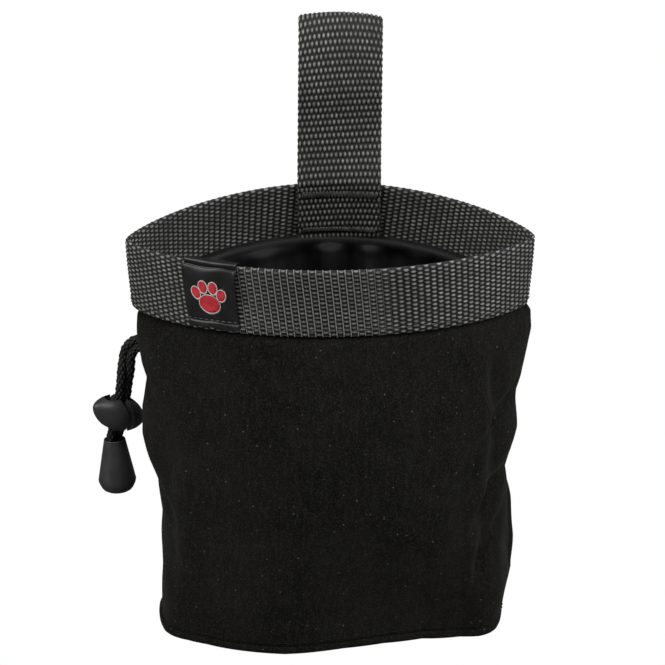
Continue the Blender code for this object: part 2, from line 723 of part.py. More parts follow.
def make_loop():
    """The webbing strap: two legs sewn to the rim, and the free loop above them."""
    half = LOOP_WEBBING_WIDTH / 2
    inner_inset = WEBBING_THICKNESS + GAP + STAND_OFF
    outer_inset = -(GAP + STAND_OFF + WEBBING_THICKNESS)
    loop_patch("loop_inner_leg", "webbing", half, INNER_LEG_LENGTH, 0.0, inner_inset,
               WEBBING_THICKNESS)
    loop_patch("loop_outer_leg", "webbing", half, OUTER_LEG_LENGTH, 0.0, outer_inset,
               WEBBING_THICKNESS)
    on_inner = inner_inset + WEBBING_THICKNESS + GAP + STAND_OFF
    on_outer = outer_inset - GAP - STITCH_THICKNESS - STAND_OFF
    bar_half = half - LOOP_STITCH_INDENT
    for side, inset in (("inner", on_inner), ("outer", on_outer)):
        loop_patch(f"loop_stitch_{side}_upper", "black_thread", bar_half, *UPPER_BAR,
                   inset, STITCH_THICKNESS, 7)
        loop_patch(f"loop_stitch_{side}_lower", "black_thread", bar_half, *LOWER_BAR,
                   inset, STITCH_THICKNESS, 7)

    name = "belt_loop"
    profile = loop_profile()
    rows = [
        [Vector((LOOP_CENTRE_X + side * half, y, z)) for y, z in profile] for side in (1, -1)
    ]
    hinge = Vector((LOOP_CENTRE_X, HINGE_Y, LOOP_HINGE_HEIGHT))
    rows = [[point - hinge for point in row] for row in rows]
    loop = add_object(name, grid_mesh(name, rows, False), "webbing")
    loop.location = hinge
    solid = loop.modifiers.new("thickness", "SOLIDIFY")
    solid.thickness = WEBBING_THICKNESS
    solid.offset = 0
    solid.use_even_offset = True


# ---- the label ----
def label_angles(half_width, columns):
    height = RIM_HEIGHT - LABEL_HEIGHT / 2
    start = angle_at_x(LABEL_CENTRE_X - half_width, height, False)
    end = angle_at_x(LABEL_CENTRE_X + half_width, height, False)
    return span_angles(start, end, columns)


def make_label():
    """The satin label folded over the rim, its emblem patch and its row of stitches."""
    out = -(GAP + STAND_OFF)
    thick = LABEL_THICKNESS
    inside = WEBBING_THICKNESS + GAP + 2 * STAND_OFF
    over = 2 * GAP
    profile = (
        (out, LABEL_HEIGHT), (out, LABEL_HEIGHT / 2), (out, -over), (inside, -over),
        (inside, LABEL_HEIGHT / 2), (inside, LABEL_INNER_HEIGHT),
        (inside + thick, LABEL_INNER_HEIGHT), (inside + thick, LABEL_HEIGHT / 2),
        (inside + thick, -over - thick), (out - thick, -over - thick),
        (out - thick, LABEL_HEIGHT / 2), (out - thick, LABEL_HEIGHT),
    )
    angles = label_angles(LABEL_WIDTH / 2, 7)
    name = "label"
    mesh = bpy.data.meshes.new(name)
    build = bmesh.new()
    loops = [
        [build.verts.new(wall_point(a, rim_top(a) - drop, inset)) for inset, drop in profile]
        for a in angles
    ]
    count = len(profile)
    for left, right in zip(loops, loops[1:]):
        for i in range(count):
            j = (i + 1) % count
            build.faces.new((left[i], left[j], right[j], right[i]))
    build.faces.new(list(reversed(loops[0])))
    build.faces.new(loops[-1])
    bmesh.ops.recalc_face_normals(build, faces=build.faces)
    build.to_mesh(mesh)
    build.free()
    add_object(name, mesh, "satin")

    on_face = out - thick - GAP - STAND_OFF - STITCH_THICKNESS
    stitch = patch_rows(
        label_angles(LABEL_WIDTH / 2 - LABEL_STITCH_INDENT, 7),
        [below_rim_top(LABEL_HEIGHT - LABEL_STITCH_RISE),
         below_rim_top(LABEL_HEIGHT - LABEL_STITCH_RISE - LABEL_STITCH_WIDTH)],
        [on_face] * 2,
    )
    add_shell("label_stitch", "grey_thread", stitch, STITCH_THICKNESS, False)

    name = "label_emblem"
    mesh = bpy.data.meshes.new(name)
    build = bmesh.new()
    sides = 20
    middle = label_angles(0.0, 2)[0]
    step = 0.01
    along = (section_point(middle + step, RIM_HEIGHT) - section_point(middle, RIM_HEIGHT)).length
    edge = []
    for k in range(sides):
        turn = 2 * math.pi * k / sides
        angle = middle + EMBLEM_RADIUS * math.cos(turn) * step / along
        height = rim_top(angle) - EMBLEM_DROP + EMBLEM_HALF_HEIGHT * math.sin(turn)
        edge.append(build.verts.new(wall_point(angle, height, on_face)))
    hub = build.verts.new(wall_point(middle, rim_top(middle) - EMBLEM_DROP, on_face))
    for k in range(sides):
        build.faces.new((hub, edge[k], edge[(k + 1) % sides]))
    build.to_mesh(mesh)
    build.free()
    emblem = add_object(name, mesh, "red_thread")
    solid = emblem.modifiers.new("thickness", "SOLIDIFY")
    solid.thickness = STITCH_THICKNESS
    solid.offset = -1


def main():
    back = make_walls()
    make_base()
    make_seams()
    make_rim()
    lining = make_lining()
    make_casing()
    make_drawstring_loop()
    make_eyelet(back, lining)
    make_strands()
    make_lock()
    make_bell()
    make_loop()
    make_label()


start_clean()
PARTS = new_collection(OBJECT_NAME)
CUTTERS = new_collection("cutters")
main()
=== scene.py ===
# Treat pouch: the looks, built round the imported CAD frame.
# Metres, +Z up. The front faces -Y, the drawstring leaves on the -X side.

import json
import math
from contextlib import contextmanager

import bmesh
import bpy
import numpy as np
from mathutils import Matrix, Vector


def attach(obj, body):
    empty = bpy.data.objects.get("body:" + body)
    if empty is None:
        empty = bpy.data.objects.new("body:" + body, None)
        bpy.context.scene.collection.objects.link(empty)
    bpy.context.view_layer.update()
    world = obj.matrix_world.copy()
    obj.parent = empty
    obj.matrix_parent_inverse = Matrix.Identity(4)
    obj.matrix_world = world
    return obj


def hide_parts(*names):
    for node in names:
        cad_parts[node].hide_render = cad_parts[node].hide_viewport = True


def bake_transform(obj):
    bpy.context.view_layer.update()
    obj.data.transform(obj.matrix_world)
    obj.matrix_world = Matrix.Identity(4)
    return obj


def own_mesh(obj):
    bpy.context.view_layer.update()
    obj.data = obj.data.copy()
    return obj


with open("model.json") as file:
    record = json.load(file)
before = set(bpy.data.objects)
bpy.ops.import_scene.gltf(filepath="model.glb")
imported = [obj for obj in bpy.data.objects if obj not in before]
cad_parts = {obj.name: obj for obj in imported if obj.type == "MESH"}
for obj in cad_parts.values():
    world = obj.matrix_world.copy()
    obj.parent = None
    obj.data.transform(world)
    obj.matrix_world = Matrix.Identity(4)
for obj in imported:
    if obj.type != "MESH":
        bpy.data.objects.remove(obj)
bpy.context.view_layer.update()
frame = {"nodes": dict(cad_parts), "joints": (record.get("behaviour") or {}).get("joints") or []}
TAU = 2 * math.pi
GAP = 0.0003

# ---- sizes, metres ----
BASE_CENTRE_Y = -0.0030
CORNER_SHIFT_Y = -0.0030
RIM_HEIGHT = 0.1450
RIM_MEAN = 0.14345
RIM_RISE_BACK = 0.0031
RIM_RISE_RIGHT = 0.0007
RIM_CORNER_DROP = 0.0017       # both corners hang below the middles of front and back
RIM_WIDTH = 0.0240
WEBBING_THICKNESS = 0.0016
KNOT_ALONG = 0.00245           # pitch of the weave along the webbing
KNOT_ACROSS = 0.00153          # and across it
KNOT_RELIEF = 0.00070
WEAVE_SHEAR = 1.0              # columns of the rim's weave slant by this many over its width
FABRIC_THICKNESS = 0.0010
BASE_UPSTAND = 0.0032

# height, half width, depth in front, depth behind, how pointed the corners are
SECTIONS = np.array((
    (0.000, 0.0600, 0.0420, 0.0420, 1.00),
    (0.045, 0.0625, 0.0440, 0.0460, 1.10),
    (0.085, 0.0655, 0.0425, 0.0500, 1.30),
    (0.120, 0.0690, 0.0370, 0.0520, 1.60),
    (0.147, 0.0712, 0.0405, 0.0460, 1.75),
))
# How far the sides reach: height and half width of the left and of the right outline.
LEFT_SIDE = np.array((
    (0.000, 0.0612), (0.006, 0.0604), (0.040, 0.0602), (0.052, 0.0610), (0.062, 0.0640),
    (0.070, 0.0661), (0.080, 0.0665), (0.090, 0.0648), (0.096, 0.0668), (0.103, 0.0680),
    (0.112, 0.0675), (0.120, 0.0672),
))
RIGHT_SIDE = np.array((
    (0.000, 0.0612), (0.007, 0.0622), (0.018, 0.0650), (0.030, 0.0647), (0.044, 0.0636),
    (0.057, 0.0617), (0.064, 0.0638), (0.072, 0.0655), (0.086, 0.0655), (0.094, 0.0672),
    (0.101, 0.0692), (0.109, 0.0706), (0.120, 0.0700),
))

# How far the foot's front edge is pushed back, by how far right it lies; forward is negative.
FOOT_PUSH = np.array((
    (-0.060, -0.0095), (-0.051, -0.0046), (-0.044, -0.0024), (-0.030, -0.0007), (-0.016, 0.0008),
    (-0.009, 0.0028), (0.005, 0.0074), (0.019, 0.0098), (0.033, 0.0092), (0.047, 0.0022),
    (0.054, -0.0040), (0.060, -0.0080),
))


# ---- numbers ----
def smoothstep(low, high, x):
    share = np.clip((x - low) / (high - low), 0, 1)
    return share * share * (3 - 2 * share)


def unit(vectors):
    """The same directions with length one."""
    return vectors / np.linalg.norm(vectors, axis=-1, keepdims=True)


def run_along(line):
    """The length from a line's start to each of its points."""
    return np.concatenate([[0], np.cumsum(np.linalg.norm(np.diff(line, axis=0), axis=1))])


def spoke(angle):
    """Level unit vectors away from the bag's middle."""
    return np.stack([np.cos(angle), np.sin(angle), np.zeros_like(angle)], -1)


def catmull(rows, column, x):
    """A value of a table at x, smooth through its rows; x may be an array."""
    xs, ys = rows[:, 0], rows[:, column]
    slopes = np.gradient(ys, xs)
    x = np.clip(x, xs[0], xs[-1])
    i = np.clip(np.searchsorted(xs, x, side="right") - 1, 0, len(xs) - 2)
    span = xs[i + 1] - xs[i]
    u = (x - xs[i]) / span
    return (
        (2 * u**3 - 3 * u**2 + 1) * ys[i] + (u**3 - 2 * u**2 + u) * slopes[i] * span
        + (3 * u**2 - 2 * u**3) * ys[i + 1] + (u**3 - u**2) * slopes[i + 1] * span
    )


def waves(seed, count, reach):
    """A smooth random function of one periodic angle, as a sum of count waves."""
    draw = np.random.default_rng(seed)
    counts = draw.integers(1, reach, count)
    phases = draw.uniform(0, TAU, count)
    sizes = draw.uniform(0.4, 1.0, count) / np.sqrt(counts)
    return lambda a: sum(s * np.sin(n * a + p) for s, n, p in zip(sizes, counts, phases))


def ripple_field(seed, count, low, high):
    """A smooth random function of two coordinates in metres, from waves of these wavelengths."""
    draw = np.random.default_rng(seed)
    turns = draw.uniform(0, TAU, count)
    lengths = draw.uniform(low, high, count)
    phases = draw.uniform(0, TAU, count)

    def field(x, y):
        total = 0.0
        for turn, length, phase in zip(turns, lengths, phases):
            place = x * math.cos(turn) + y * math.sin(turn)
            total = total + np.sin(TAU * place / length + phase)
        return total / math.sqrt(count)

    return field


# ---- the bag's shape ----
def wall_points(angle, height, inset=0.0):
    """Points of the bag's smooth section, made smaller all round by inset."""
    angle, height = np.broadcast_arrays(np.asarray(angle, float), np.asarray(height, float))
    sine = np.sin(angle)
    half_width = catmull(SECTIONS, 1, height) - inset * 1.25
    depth = np.where(sine > 0, catmull(SECTIONS, 3, height), catmull(SECTIONS, 2, height)) - inset
    point = catmull(SECTIONS, 4, height)
    across = np.sign(sine) * np.abs(sine) ** point
    centre_y = BASE_CENTRE_Y + CORNER_SHIFT_Y * height / RIM_HEIGHT
    return np.stack([half_width * np.cos(angle), centre_y + depth * across, height], -1)


def rim_top(angle):
    return (
        RIM_MEAN + RIM_RISE_BACK * np.sin(angle) + RIM_RISE_RIGHT * np.cos(angle)
        - RIM_CORNER_DROP * np.cos(2 * angle)
    )


def smooth_ring(points, spread):
    """Rounds a closed line of evenly spaced points by a Gaussian of this many points."""
    n = len(points)
    offsets = np.minimum(np.arange(n), n - np.arange(n))
    kernel = np.exp(-0.5 * (offsets / spread) ** 2)
    kernel /= kernel.sum()
    return np.real(np.fft.ifft(np.fft.fft(points, axis=0) * np.fft.fft(kernel)[:, None], axis=0))


RING_STEPS = 2400


def ring_parameters():
    """Section angles that divide the rim evenly by length, starting at the right corner."""
    fine = np.linspace(0, TAU, 20001)
    line = wall_points(fine, RIM_HEIGHT - RIM_WIDTH / 2)
    length = run_along(line)
    even = np.interp(np.arange(RING_STEPS) / RING_STEPS * length[-1], length, fine)
    return even, length[-1]


RING_ANGLES, RING_LENGTH = ring_parameters()
ROUNDING = 0.0013 / RING_LENGTH * RING_STEPS
CORNER_STRETCH = 1.010         # gives back the width that rounding takes from the corners


def ring_line(height):
    """A level line of the rim, with its corners rounded as bent webbing is."""
    line = smooth_ring(wall_points(RING_ANGLES, height), ROUNDING)
    return line * (CORNER_STRETCH, 1.0, 1.0)


RIM_TOP_LINE = ring_line(rim_top(RING_ANGLES))
RIM_MIDDLE_LINE = ring_line(rim_top(RING_ANGLES) - RIM_WIDTH / 2)
RIM_BOTTOM_LINE = ring_line(rim_top(RING_ANGLES) - RIM_WIDTH)


def sample_ring(line, place):
    """Points of a closed line at places given as shares of its way round."""
    at = (np.asarray(place, float) % 1.0) * RING_STEPS
    low = np.floor(at).astype(int) % RING_STEPS
    share = (at - np.floor(at))[..., None]
    return line[low] * (1 - share) + line[(low + 1) % RING_STEPS] * share


def rim_surface(place, drop):
    """The rim's outer face: place is the share round the ring, drop the distance below its top."""
    place, drop = np.broadcast_arrays(np.asarray(place, float), np.asarray(drop, float))
    down = (drop / RIM_WIDTH)[..., None]
    top, middle, bottom = (
        sample_ring(line, place) for line in (RIM_TOP_LINE, RIM_MIDDLE_LINE, RIM_BOTTOM_LINE)
    )
    return (
        top * (1 - down) * (1 - 2 * down) + middle * 4 * down * (1 - down)
        + bottom * down * (2 * down - 1)
    )


STEP_ROUND = 0.0012            # a share of the ring, for directions along the rim
STEP_DOWN = 0.0008             # metres, for directions down it


def step_down_rim(place, drop):
    return rim_surface(place, drop + STEP_DOWN) - rim_surface(place, drop - STEP_DOWN)


def rim_frame(place, drop):
    """Points of the rim's outer face with their outward normals."""
    along = rim_surface(place + STEP_ROUND, drop) - rim_surface(place - STEP_ROUND, drop)
    return rim_surface(place, drop), unit(np.cross(step_down_rim(place, drop), along))


def place_of_x(x, back):
    """The share round the ring where the rim is at this x, on the front or the back half."""
    shares = np.arange(RING_STEPS) / RING_STEPS
    half = shares < 0.5 if back else shares >= 0.5
    candidates = shares[half]
    return candidates[np.argmin(np.abs(RIM_MIDDLE_LINE[half, 0] - x))]


def rim_follow(angle, height, depth):
    """Points this deep inside the rim's outer face, at section angles and heights."""
    stops = np.append(RING_ANGLES, TAU)
    place = np.interp(np.asarray(angle) % TAU, stops, np.linspace(0, 1, RING_STEPS + 1))
    surface, normal = rim_frame(place, rim_top(angle) - height)
    return surface - normal * np.broadcast_to(depth, place.shape)[..., None]


# the ridges between the rim's columns show across the middle of its front
RIDGES_FROM, RIDGES_TO = place_of_x(-0.042, False), place_of_x(0.024, False)
RIDGES_FADE = 0.060


# ---- meshes ----
def add_object(name, data):
    piece = bpy.data.objects.new(name, data)
    bpy.context.scene.collection.objects.link(piece)
    return piece


@contextmanager
def editing(piece):
    """The piece's mesh opened for edits, written back with its normals pointing out."""
    build = bmesh.new()
    build.from_mesh(piece.data)
    yield build
    bmesh.ops.recalc_face_normals(build, faces=build.faces)
    build.to_mesh(piece.data)
    build.free()


def open_edges(build):
    return [edge for edge in build.edges if edge.is_boundary]


def new_piece(name, points, faces, material, uv=None):
    """A mesh object from points and quads or polygons; uv is one pair for each face corner."""
    mesh = bpy.data.meshes.new(name)
    points = np.asarray(points, float).reshape(-1, 3)
    if isinstance(faces, np.ndarray):
        mesh.vertices.add(len(points))
        mesh.vertices.foreach_set("co", points.astype(np.float32).ravel())
        mesh.loops.add(faces.size)
        mesh.loops.foreach_set("vertex_index", faces.astype(np.int32).ravel())
        mesh.polygons.add(len(faces))
        sides = faces.shape[1]
        mesh.polygons.foreach_set("loop_start", np.arange(0, faces.size, sides, dtype=np.int32))
        mesh.update(calc_edges=True)
    else:
        mesh.from_pydata(points.tolist(), [], faces)
    mesh.validate()
    if uv is not None:
        layer = mesh.uv_layers.new(name="weave")
        layer.data.foreach_set("uv", np.asarray(uv, np.float32).ravel())
    mesh.materials.append(material)
    mesh.shade_smooth()
    return add_object(name, mesh)


def grid_faces(rows, columns, close_rows, close_columns):
    """Quads of a grid of points, wound so that columns x rows points out of the page."""
    r = np.arange(rows if close_rows else rows - 1)
    c = np.arange(columns if close_columns else columns - 1)
    r, c = np.meshgrid(r, c, indexing="ij")
    r2, c2 = (r + 1) % rows, (c + 1) % columns
    faces = np.stack([r * columns + c, r * columns + c2, r2 * columns + c2, r2 * columns + c], -1)
    return faces.reshape(-1, 4)


def grid_uv(u, v, close_rows, close_columns, u_period=0.0, v_period=0.0):
    """Face corner coordinates of a grid whose points have coordinates u and v."""
    rows, columns = u.shape
    r = np.arange(rows if close_rows else rows - 1)
    c = np.arange(columns if close_columns else columns - 1)
    r, c = np.meshgrid(r, c, indexing="ij")
    corners = []
    for dr, dc in ((0, 0), (0, 1), (1, 1), (1, 0)):
        rr, cc = (r + dr) % rows, (c + dc) % columns
        cu = u[rr, cc] + u_period * ((c + dc) >= columns)
        cv = v[rr, cc] + v_period * ((r + dr) >= rows)
        corners.append(np.stack([cu, cv], -1))
    return np.stack(corners, -2).reshape(-1, 2)


def grid_piece(name, points, material, close_rows=False, close_columns=False, uv=None, flip=False):
    """points is rows x columns x 3."""
    rows, columns = points.shape[:2]
    faces = grid_faces(rows, columns, close_rows, close_columns)
    if flip:
        faces = faces[:, ::-1]
        uv = None if uv is None else uv.reshape(-1, 4, 2)[:, ::-1].reshape(-1, 2)
    return new_piece(name, points, faces, material, uv)


def solidify(piece, thickness, offset=-1.0):
    """Gives a sheet thickness, inward unless offset is 1."""
    solid = piece.modifiers.new("thickness", "SOLIDIFY")
    solid.thickness = thickness
    solid.offset = offset
    solid.use_even_offset = False


def apply_modifiers(piece):
    bpy.context.view_layer.update()
    graph = bpy.context.evaluated_depsgraph_get()
    mesh = bpy.data.meshes.new_from_object(piece.evaluated_get(graph), depsgraph=graph)
    piece.modifiers.clear()
    old = piece.data
    piece.data = mesh
    bpy.data.meshes.remove(old)


def settle(piece, body, slot, *replaced):
    """Names the piece's CAD body and the CAD nodes that it stands for; slot, its material slot, is
    not used.
    """
    if replaced:
        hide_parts(*replaced)
    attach(piece, body)


# ---- material nodes ----
class Nodes:
    """Short calls for one material's node tree."""

    def __init__(self, name):
        self.material = bpy.data.materials.new(name)
        self.material.use_nodes = True
        self.tree = self.material.node_tree
        self.shader = self.tree.nodes["Principled BSDF"]

    def add(self, kind, **settings):
        node = self.tree.nodes.new("ShaderNode" + kind)
        for key, value in settings.items():
            setattr(node, key, value)
        return node

    def link(self, source, target):
        self.tree.links.new(source, target)

    def put(self, node, key, value):
        """Sets an input to a number or colour, or links it to another node's output."""
        if isinstance(value, bpy.types.NodeSocket):
            self.link(value, node.inputs[key])
        else:
            node.inputs[key].default_value = value

    def maths(self, operation, a, b=0.0):
        node = self.add("Math", operation=operation)
        self.put(node, 0, a)
        self.put(node, 1, b)
        return node.outputs[0]

    def spread(self, value, low, high, to_low=0.0, to_high=1.0, smooth=True):
        """Maps low to high onto to_low to to_high, and holds the ends."""
        node = self.add("MapRange", interpolation_type="SMOOTHSTEP" if smooth else "LINEAR")
        for i, v in enumerate((value, low, high, to_low, to_high)):
            self.put(node, i, v)
        return node.outputs[0]

    def mix(self, share, a, b):
        node = self.add("Mix", data_type="RGBA")
        self.put(node, 0, share)
        self.put(node, 6, a)
        self.put(node, 7, b)
        return node.outputs[2]

    def noise(self, scale, detail, roughness, vector):
        node = self.add("TexNoise")
        for key, value in (
            ("Scale", scale), ("Detail", detail), ("Roughness", roughness), ("Vector", vector),
        ):
            self.put(node, key, value)
        return node.outputs["Fac"]

    def place(self):
        return self.add("TexCoord").outputs["Object"]

    def scaled(self, vector, x, y, z):
        node = self.add("Mapping")
        self.link(vector, node.inputs["Vector"])
        node.inputs["Scale"].default_value = (x, y, z)
        return node.outputs["Vector"]

    def weave_uv(self):
        """The weave's two coordinates, one step for each thread or knot."""
        node = self.add("UVMap", uv_map="weave")
        split = self.add("SeparateXYZ")
        self.link(node.outputs[0], split.inputs[0])
        return split.outputs[0], split.outputs[1]

    def bump(self, height, strength, distance):
        node = self.add("Bump")
        node.inputs["Strength"].default_value = strength
        node.inputs["Distance"].default_value = distance
        self.link(height, node.inputs["Height"])
        return node.outputs[0]

    def finish(self, **values):
        names = {
            "colour": "Base Color", "roughness": "Roughness", "metallic": "Metallic",
            "normal": "Normal", "sheen": "Sheen Weight", "sheen_roughness": "Sheen Roughness",
            "sheen_tint": "Sheen Tint", "specular": "Specular IOR Level",
        }
        for key, value in values.items():
            self.put(self.shader, names[key], value)
        return self.material


def rgb(red, green, blue):
    return (red, green, blue, 1.0)


def webbing_material(name, knots, gaps, columns=0):
    """Woven polypropylene: the knots' light grey in a checkerboard is painted highlight on dark
    glossy knots, and the near-black between them painted shade, both given as greys.
    With columns, the count round the rim, ridges stand between the columns at its front, where the
    knots are painted darker as painted shade and the ridges painted light grey as painted
    highlight."""
    n = Nodes(name)
    u, v = n.weave_uv()
    column = n.maths("FLOOR", u)
    odd = n.maths("PINGPONG", column, 1.0)
    v = n.maths("ADD", v, n.maths("MULTIPLY", odd, 0.5))
    row = n.maths("FLOOR", v)
    across_u = n.maths("SUBTRACT", n.maths("SUBTRACT", u, column), 0.5)
    across_v = n.maths("SUBTRACT", n.maths("SUBTRACT", v, row), 0.5)
    ru = n.maths("POWER", n.maths("ABSOLUTE", n.maths("DIVIDE", across_u, 0.40)), 2.2)
    rv = n.maths("POWER", n.maths("ABSOLUTE", n.maths("DIVIDE", across_v, 0.30)), 2.0)
    far = n.maths("ADD", ru, rv)
    knot = n.spread(far, 1.15, 0.05)
    place = n.place()
    cell = n.add("CombineXYZ")
    n.link(column, cell.inputs[0])
    n.link(row, cell.inputs[1])
    white = n.add("TexWhiteNoise", noise_dimensions="2D")
    n.link(cell.outputs[0], white.inputs["Vector"])
    tone = n.spread(white.outputs["Value"], 0.0, 1.0, 0.68, 1.32, smooth=False)
    wear = n.spread(n.noise(60.0, 3.0, 0.6, place), 0.35, 0.7, 0.85, 1.15)
    light = n.maths("MULTIPLY", tone, wear)
    grey = n.add("CombineColor")
    for channel, tint in enumerate((1.0, 1.005, 0.932)):
        n.put(grey, channel, n.maths("MULTIPLY", light, knots * tint))
    # painted highlight and shade: the knot tops are painted light grey, the spaces between knots
    # near-black
    colour = n.mix(knot, rgb(gaps, gaps, gaps * 0.91), grey.outputs[0])
    warp = 0.0
    if columns:
        between = n.spread(n.maths("ABSOLUTE", across_u), 0.385, 0.455)
        rise = n.spread(u, columns * RIDGES_FROM, columns * (RIDGES_FROM + RIDGES_FADE))
        fall = n.spread(u, columns * RIDGES_TO, columns * (RIDGES_TO - RIDGES_FADE))
        shown = n.maths("MULTIPLY", rise, fall)
        warp = n.maths("MULTIPLY", between, shown)
        # painted shade: across the middle of the front the knots are painted darker
        dim = n.maths("SUBTRACT", 1.0, n.maths("MULTIPLY", shown, 0.42))
        colour = n.mix(dim, rgb(0.0035, 0.0035, 0.0032), colour)
        # painted highlight: the ridges between the columns are painted light grey
        colour = n.mix(warp, colour, rgb(0.200, 0.200, 0.186))
    # the fibres run along each knot's yarn
    fibre_place = n.add("CombineXYZ")
    n.link(n.maths("MULTIPLY", u, 0.8), fibre_place.inputs[0])
    n.link(n.maths("MULTIPLY", v, 7.0), fibre_place.inputs[1])
    fibres = n.noise(2.2, 2.0, 0.6, fibre_place.outputs[0])
    height = n.maths("ADD", n.maths("MAXIMUM", knot, warp), n.maths("MULTIPLY", fibres, 0.35))
    normal = n.bump(height, 0.55, 0.0003)
    roughness = n.spread(knot, 0.0, 1.0, 0.85, 0.46, smooth=False)
    return n.finish(colour=colour, roughness=roughness, normal=normal, specular=0.5)


def suede_material():
    """Napped black fabric with cloudy nap, fine grain and a little lint."""
    n = Nodes("suede")
    place = n.place()
    clouds = n.noise(38.0, 4.0, 0.6, place)
    streaks = n.noise(700.0, 3.0, 0.65, n.scaled(place, 1.0, 1.0, 0.22))
    grain = n.noise(1700.0, 2.0, 0.7, place)
    lint = n.add("TexVoronoi", feature="F1")
    lint.inputs["Scale"].default_value = 640.0
    n.link(place, lint.inputs["Vector"])
    speck = n.spread(lint.outputs["Distance"], 0.24, 0.10)
    split = n.add("SeparateColor")
    n.link(lint.outputs["Color"], split.inputs[0])
    chosen = n.maths("POWER", n.spread(split.outputs[0], 0.76, 1.0, smooth=False), 2.6)
    specks = n.maths("MULTIPLY", speck, chosen)
    nap = n.mix(n.spread(clouds, 0.3, 0.7), rgb(0.0024, 0.0023, 0.0019),
                rgb(0.0056, 0.0053, 0.0045))
    nap = n.mix(n.spread(streaks, 0.45, 0.75, 0.0, 0.6), nap, rgb(0.0115, 0.0110, 0.0094))
    nap = n.mix(n.spread(grain, 0.45, 0.75, 0.0, 0.9), nap, rgb(0.0175, 0.0168, 0.0144))
    colour = n.mix(n.maths("MULTIPLY", specks, 0.80), nap, rgb(0.100, 0.098, 0.078))
    height = n.maths("ADD", n.maths("MULTIPLY", grain, 0.6), n.maths("MULTIPLY", clouds, 0.8))
    normal = n.bump(height, 0.35, 0.0004)
    return n.finish(
        colour=colour, roughness=0.95, normal=normal, specular=0.08,
        sheen=0.045, sheen_roughness=0.45, sheen_tint=rgb(0.60, 0.59, 0.55),
    )


def nylon_material():
    """Thin black nylon with a soft shine and a fine plain weave."""
    n = Nodes("nylon")
    place = n.place()
    creases = n.noise(120.0, 4.0, 0.6, n.scaled(place, 1.0, 1.0, 0.35))
    weave = n.noise(2600.0, 1.0, 0.5, place)
    # painted shade in the creases: the colour is darker in the hollows of the crease noise and
    # lighter on its raised parts, which the bump below uses as height
    colour = n.mix(n.spread(creases, 0.3, 0.7), rgb(0.0052, 0.0052, 0.0057),
                   rgb(0.0105, 0.0105, 0.0112))
    height = n.maths("ADD", creases, n.maths("MULTIPLY", weave, 0.08))
    normal = n.bump(height, 0.45, 0.0008)
    roughness = n.spread(creases, 0.3, 0.7, 0.46, 0.62)
    return n.finish(colour=colour, roughness=roughness, normal=normal, specular=0.13)


def cord_material():
    """Braided black cord: u turns round it, v runs along it, and the plaits cross at a slant. The
    plait tops are painted lighter as painted highlight and the grooves between them near-black as
    painted shade.
    """
    n = Nodes("cord")
    u, v = n.weave_uv()
    place = n.place()
    fibres = n.noise(2200.0, 2.0, 0.6, place)
    tone = n.noise(300.0, 3.0, 0.5, place)
    left = n.maths("ABSOLUTE", n.maths("COSINE", n.maths("ADD", u, v)))
    right = n.maths("ABSOLUTE", n.maths("COSINE", n.maths("SUBTRACT", u, v)))
    plait = n.spread(n.maths("MULTIPLY", left, right), 0.10, 0.60)
    light = n.mix(n.spread(tone, 0.3, 0.7), rgb(0.0060, 0.0060, 0.0055),
                  rgb(0.0150, 0.0150, 0.0138))
    # painted highlight and shade: lighter on the plait tops, near-black in the grooves between
    # plaits
    colour = n.mix(plait, rgb(0.0008, 0.0008, 0.0007), light)
    height = n.maths("ADD", n.maths("MULTIPLY", fibres, 0.3), plait)
    normal = n.bump(height, 0.6, 0.0003)
    return n.finish(colour=colour, roughness=0.55, normal=normal, specular=0.40)


def plastic_material():
    """Moulded black plastic with a fine spark-eroded surface."""
    n = Nodes("plastic")
    place = n.place()
    fine = n.noise(1800.0, 2.0, 0.5, place)
    marks = n.noise(160.0, 4.0, 0.65, place)
    colour = n.mix(n.spread(marks, 0.35, 0.7), rgb(0.0215, 0.0217, 0.0222),
                   rgb(0.0290, 0.0294, 0.0302))
    roughness = n.spread(marks, 0.3, 0.7, 0.38, 0.50)
    normal = n.bump(fine, 0.12, 0.0002)
    return n.finish(colour=colour, roughness=roughness, normal=normal, specular=0.5)


def metal_material(name, base, rough):
    """Plain or painted metal with light handling marks."""
    n = Nodes(name)
    marks = n.noise(500.0, 4.0, 0.6, n.place())
    lighter = tuple(min(1.0, c * 1.35) for c in base[:3]) + (1.0,)
    colour = n.mix(n.spread(marks, 0.35, 0.7), base, lighter)
    roughness = n.spread(marks, 0.3, 0.7, rough * 0.85, rough * 1.25)
    normal = n.bump(marks, 0.08, 0.0002)
    return n.finish(colour=colour, roughness=roughness, normal=normal, metallic=0.9)


def satin_material():
    """Black woven label satin: fine threads across it and a long soft shine."""
    n = Nodes("satin")
    u, v = n.weave_uv()
    threads = n.maths("SINE", n.maths("MULTIPLY", v, TAU))
    warp = n.maths("SINE", n.maths("MULTIPLY", u, TAU))
    place = n.place()
    tone = n.noise(260.0, 3.0, 0.6, place)
    colour = n.mix(n.spread(tone, 0.3, 0.7), rgb(0.0045, 0.0045, 0.0050),
                   rgb(0.0090, 0.0090, 0.0096))
    height = n.maths("ADD", n.maths("MULTIPLY", threads, 0.6), n.maths("MULTIPLY", warp, 0.3))
    normal = n.bump(height, 0.16, 0.00012)
    return n.finish(colour=colour, roughness=0.36, normal=normal, specular=0.50)


def thread_material(name, dark, light, rough):
    """Sewing or embroidery thread with twisted plies."""
    n = Nodes(name)
    place = n.place()
    plies = n.noise(1500.0, 2.0, 0.6, place)
    tone = n.noise(400.0, 2.0, 0.5, place)
    colour = n.mix(n.spread(tone, 0.3, 0.7), dark, light)
    normal = n.bump(plies, 0.5, 0.0002)
    return n.finish(colour=colour, roughness=rough, normal=normal, specular=0.20)


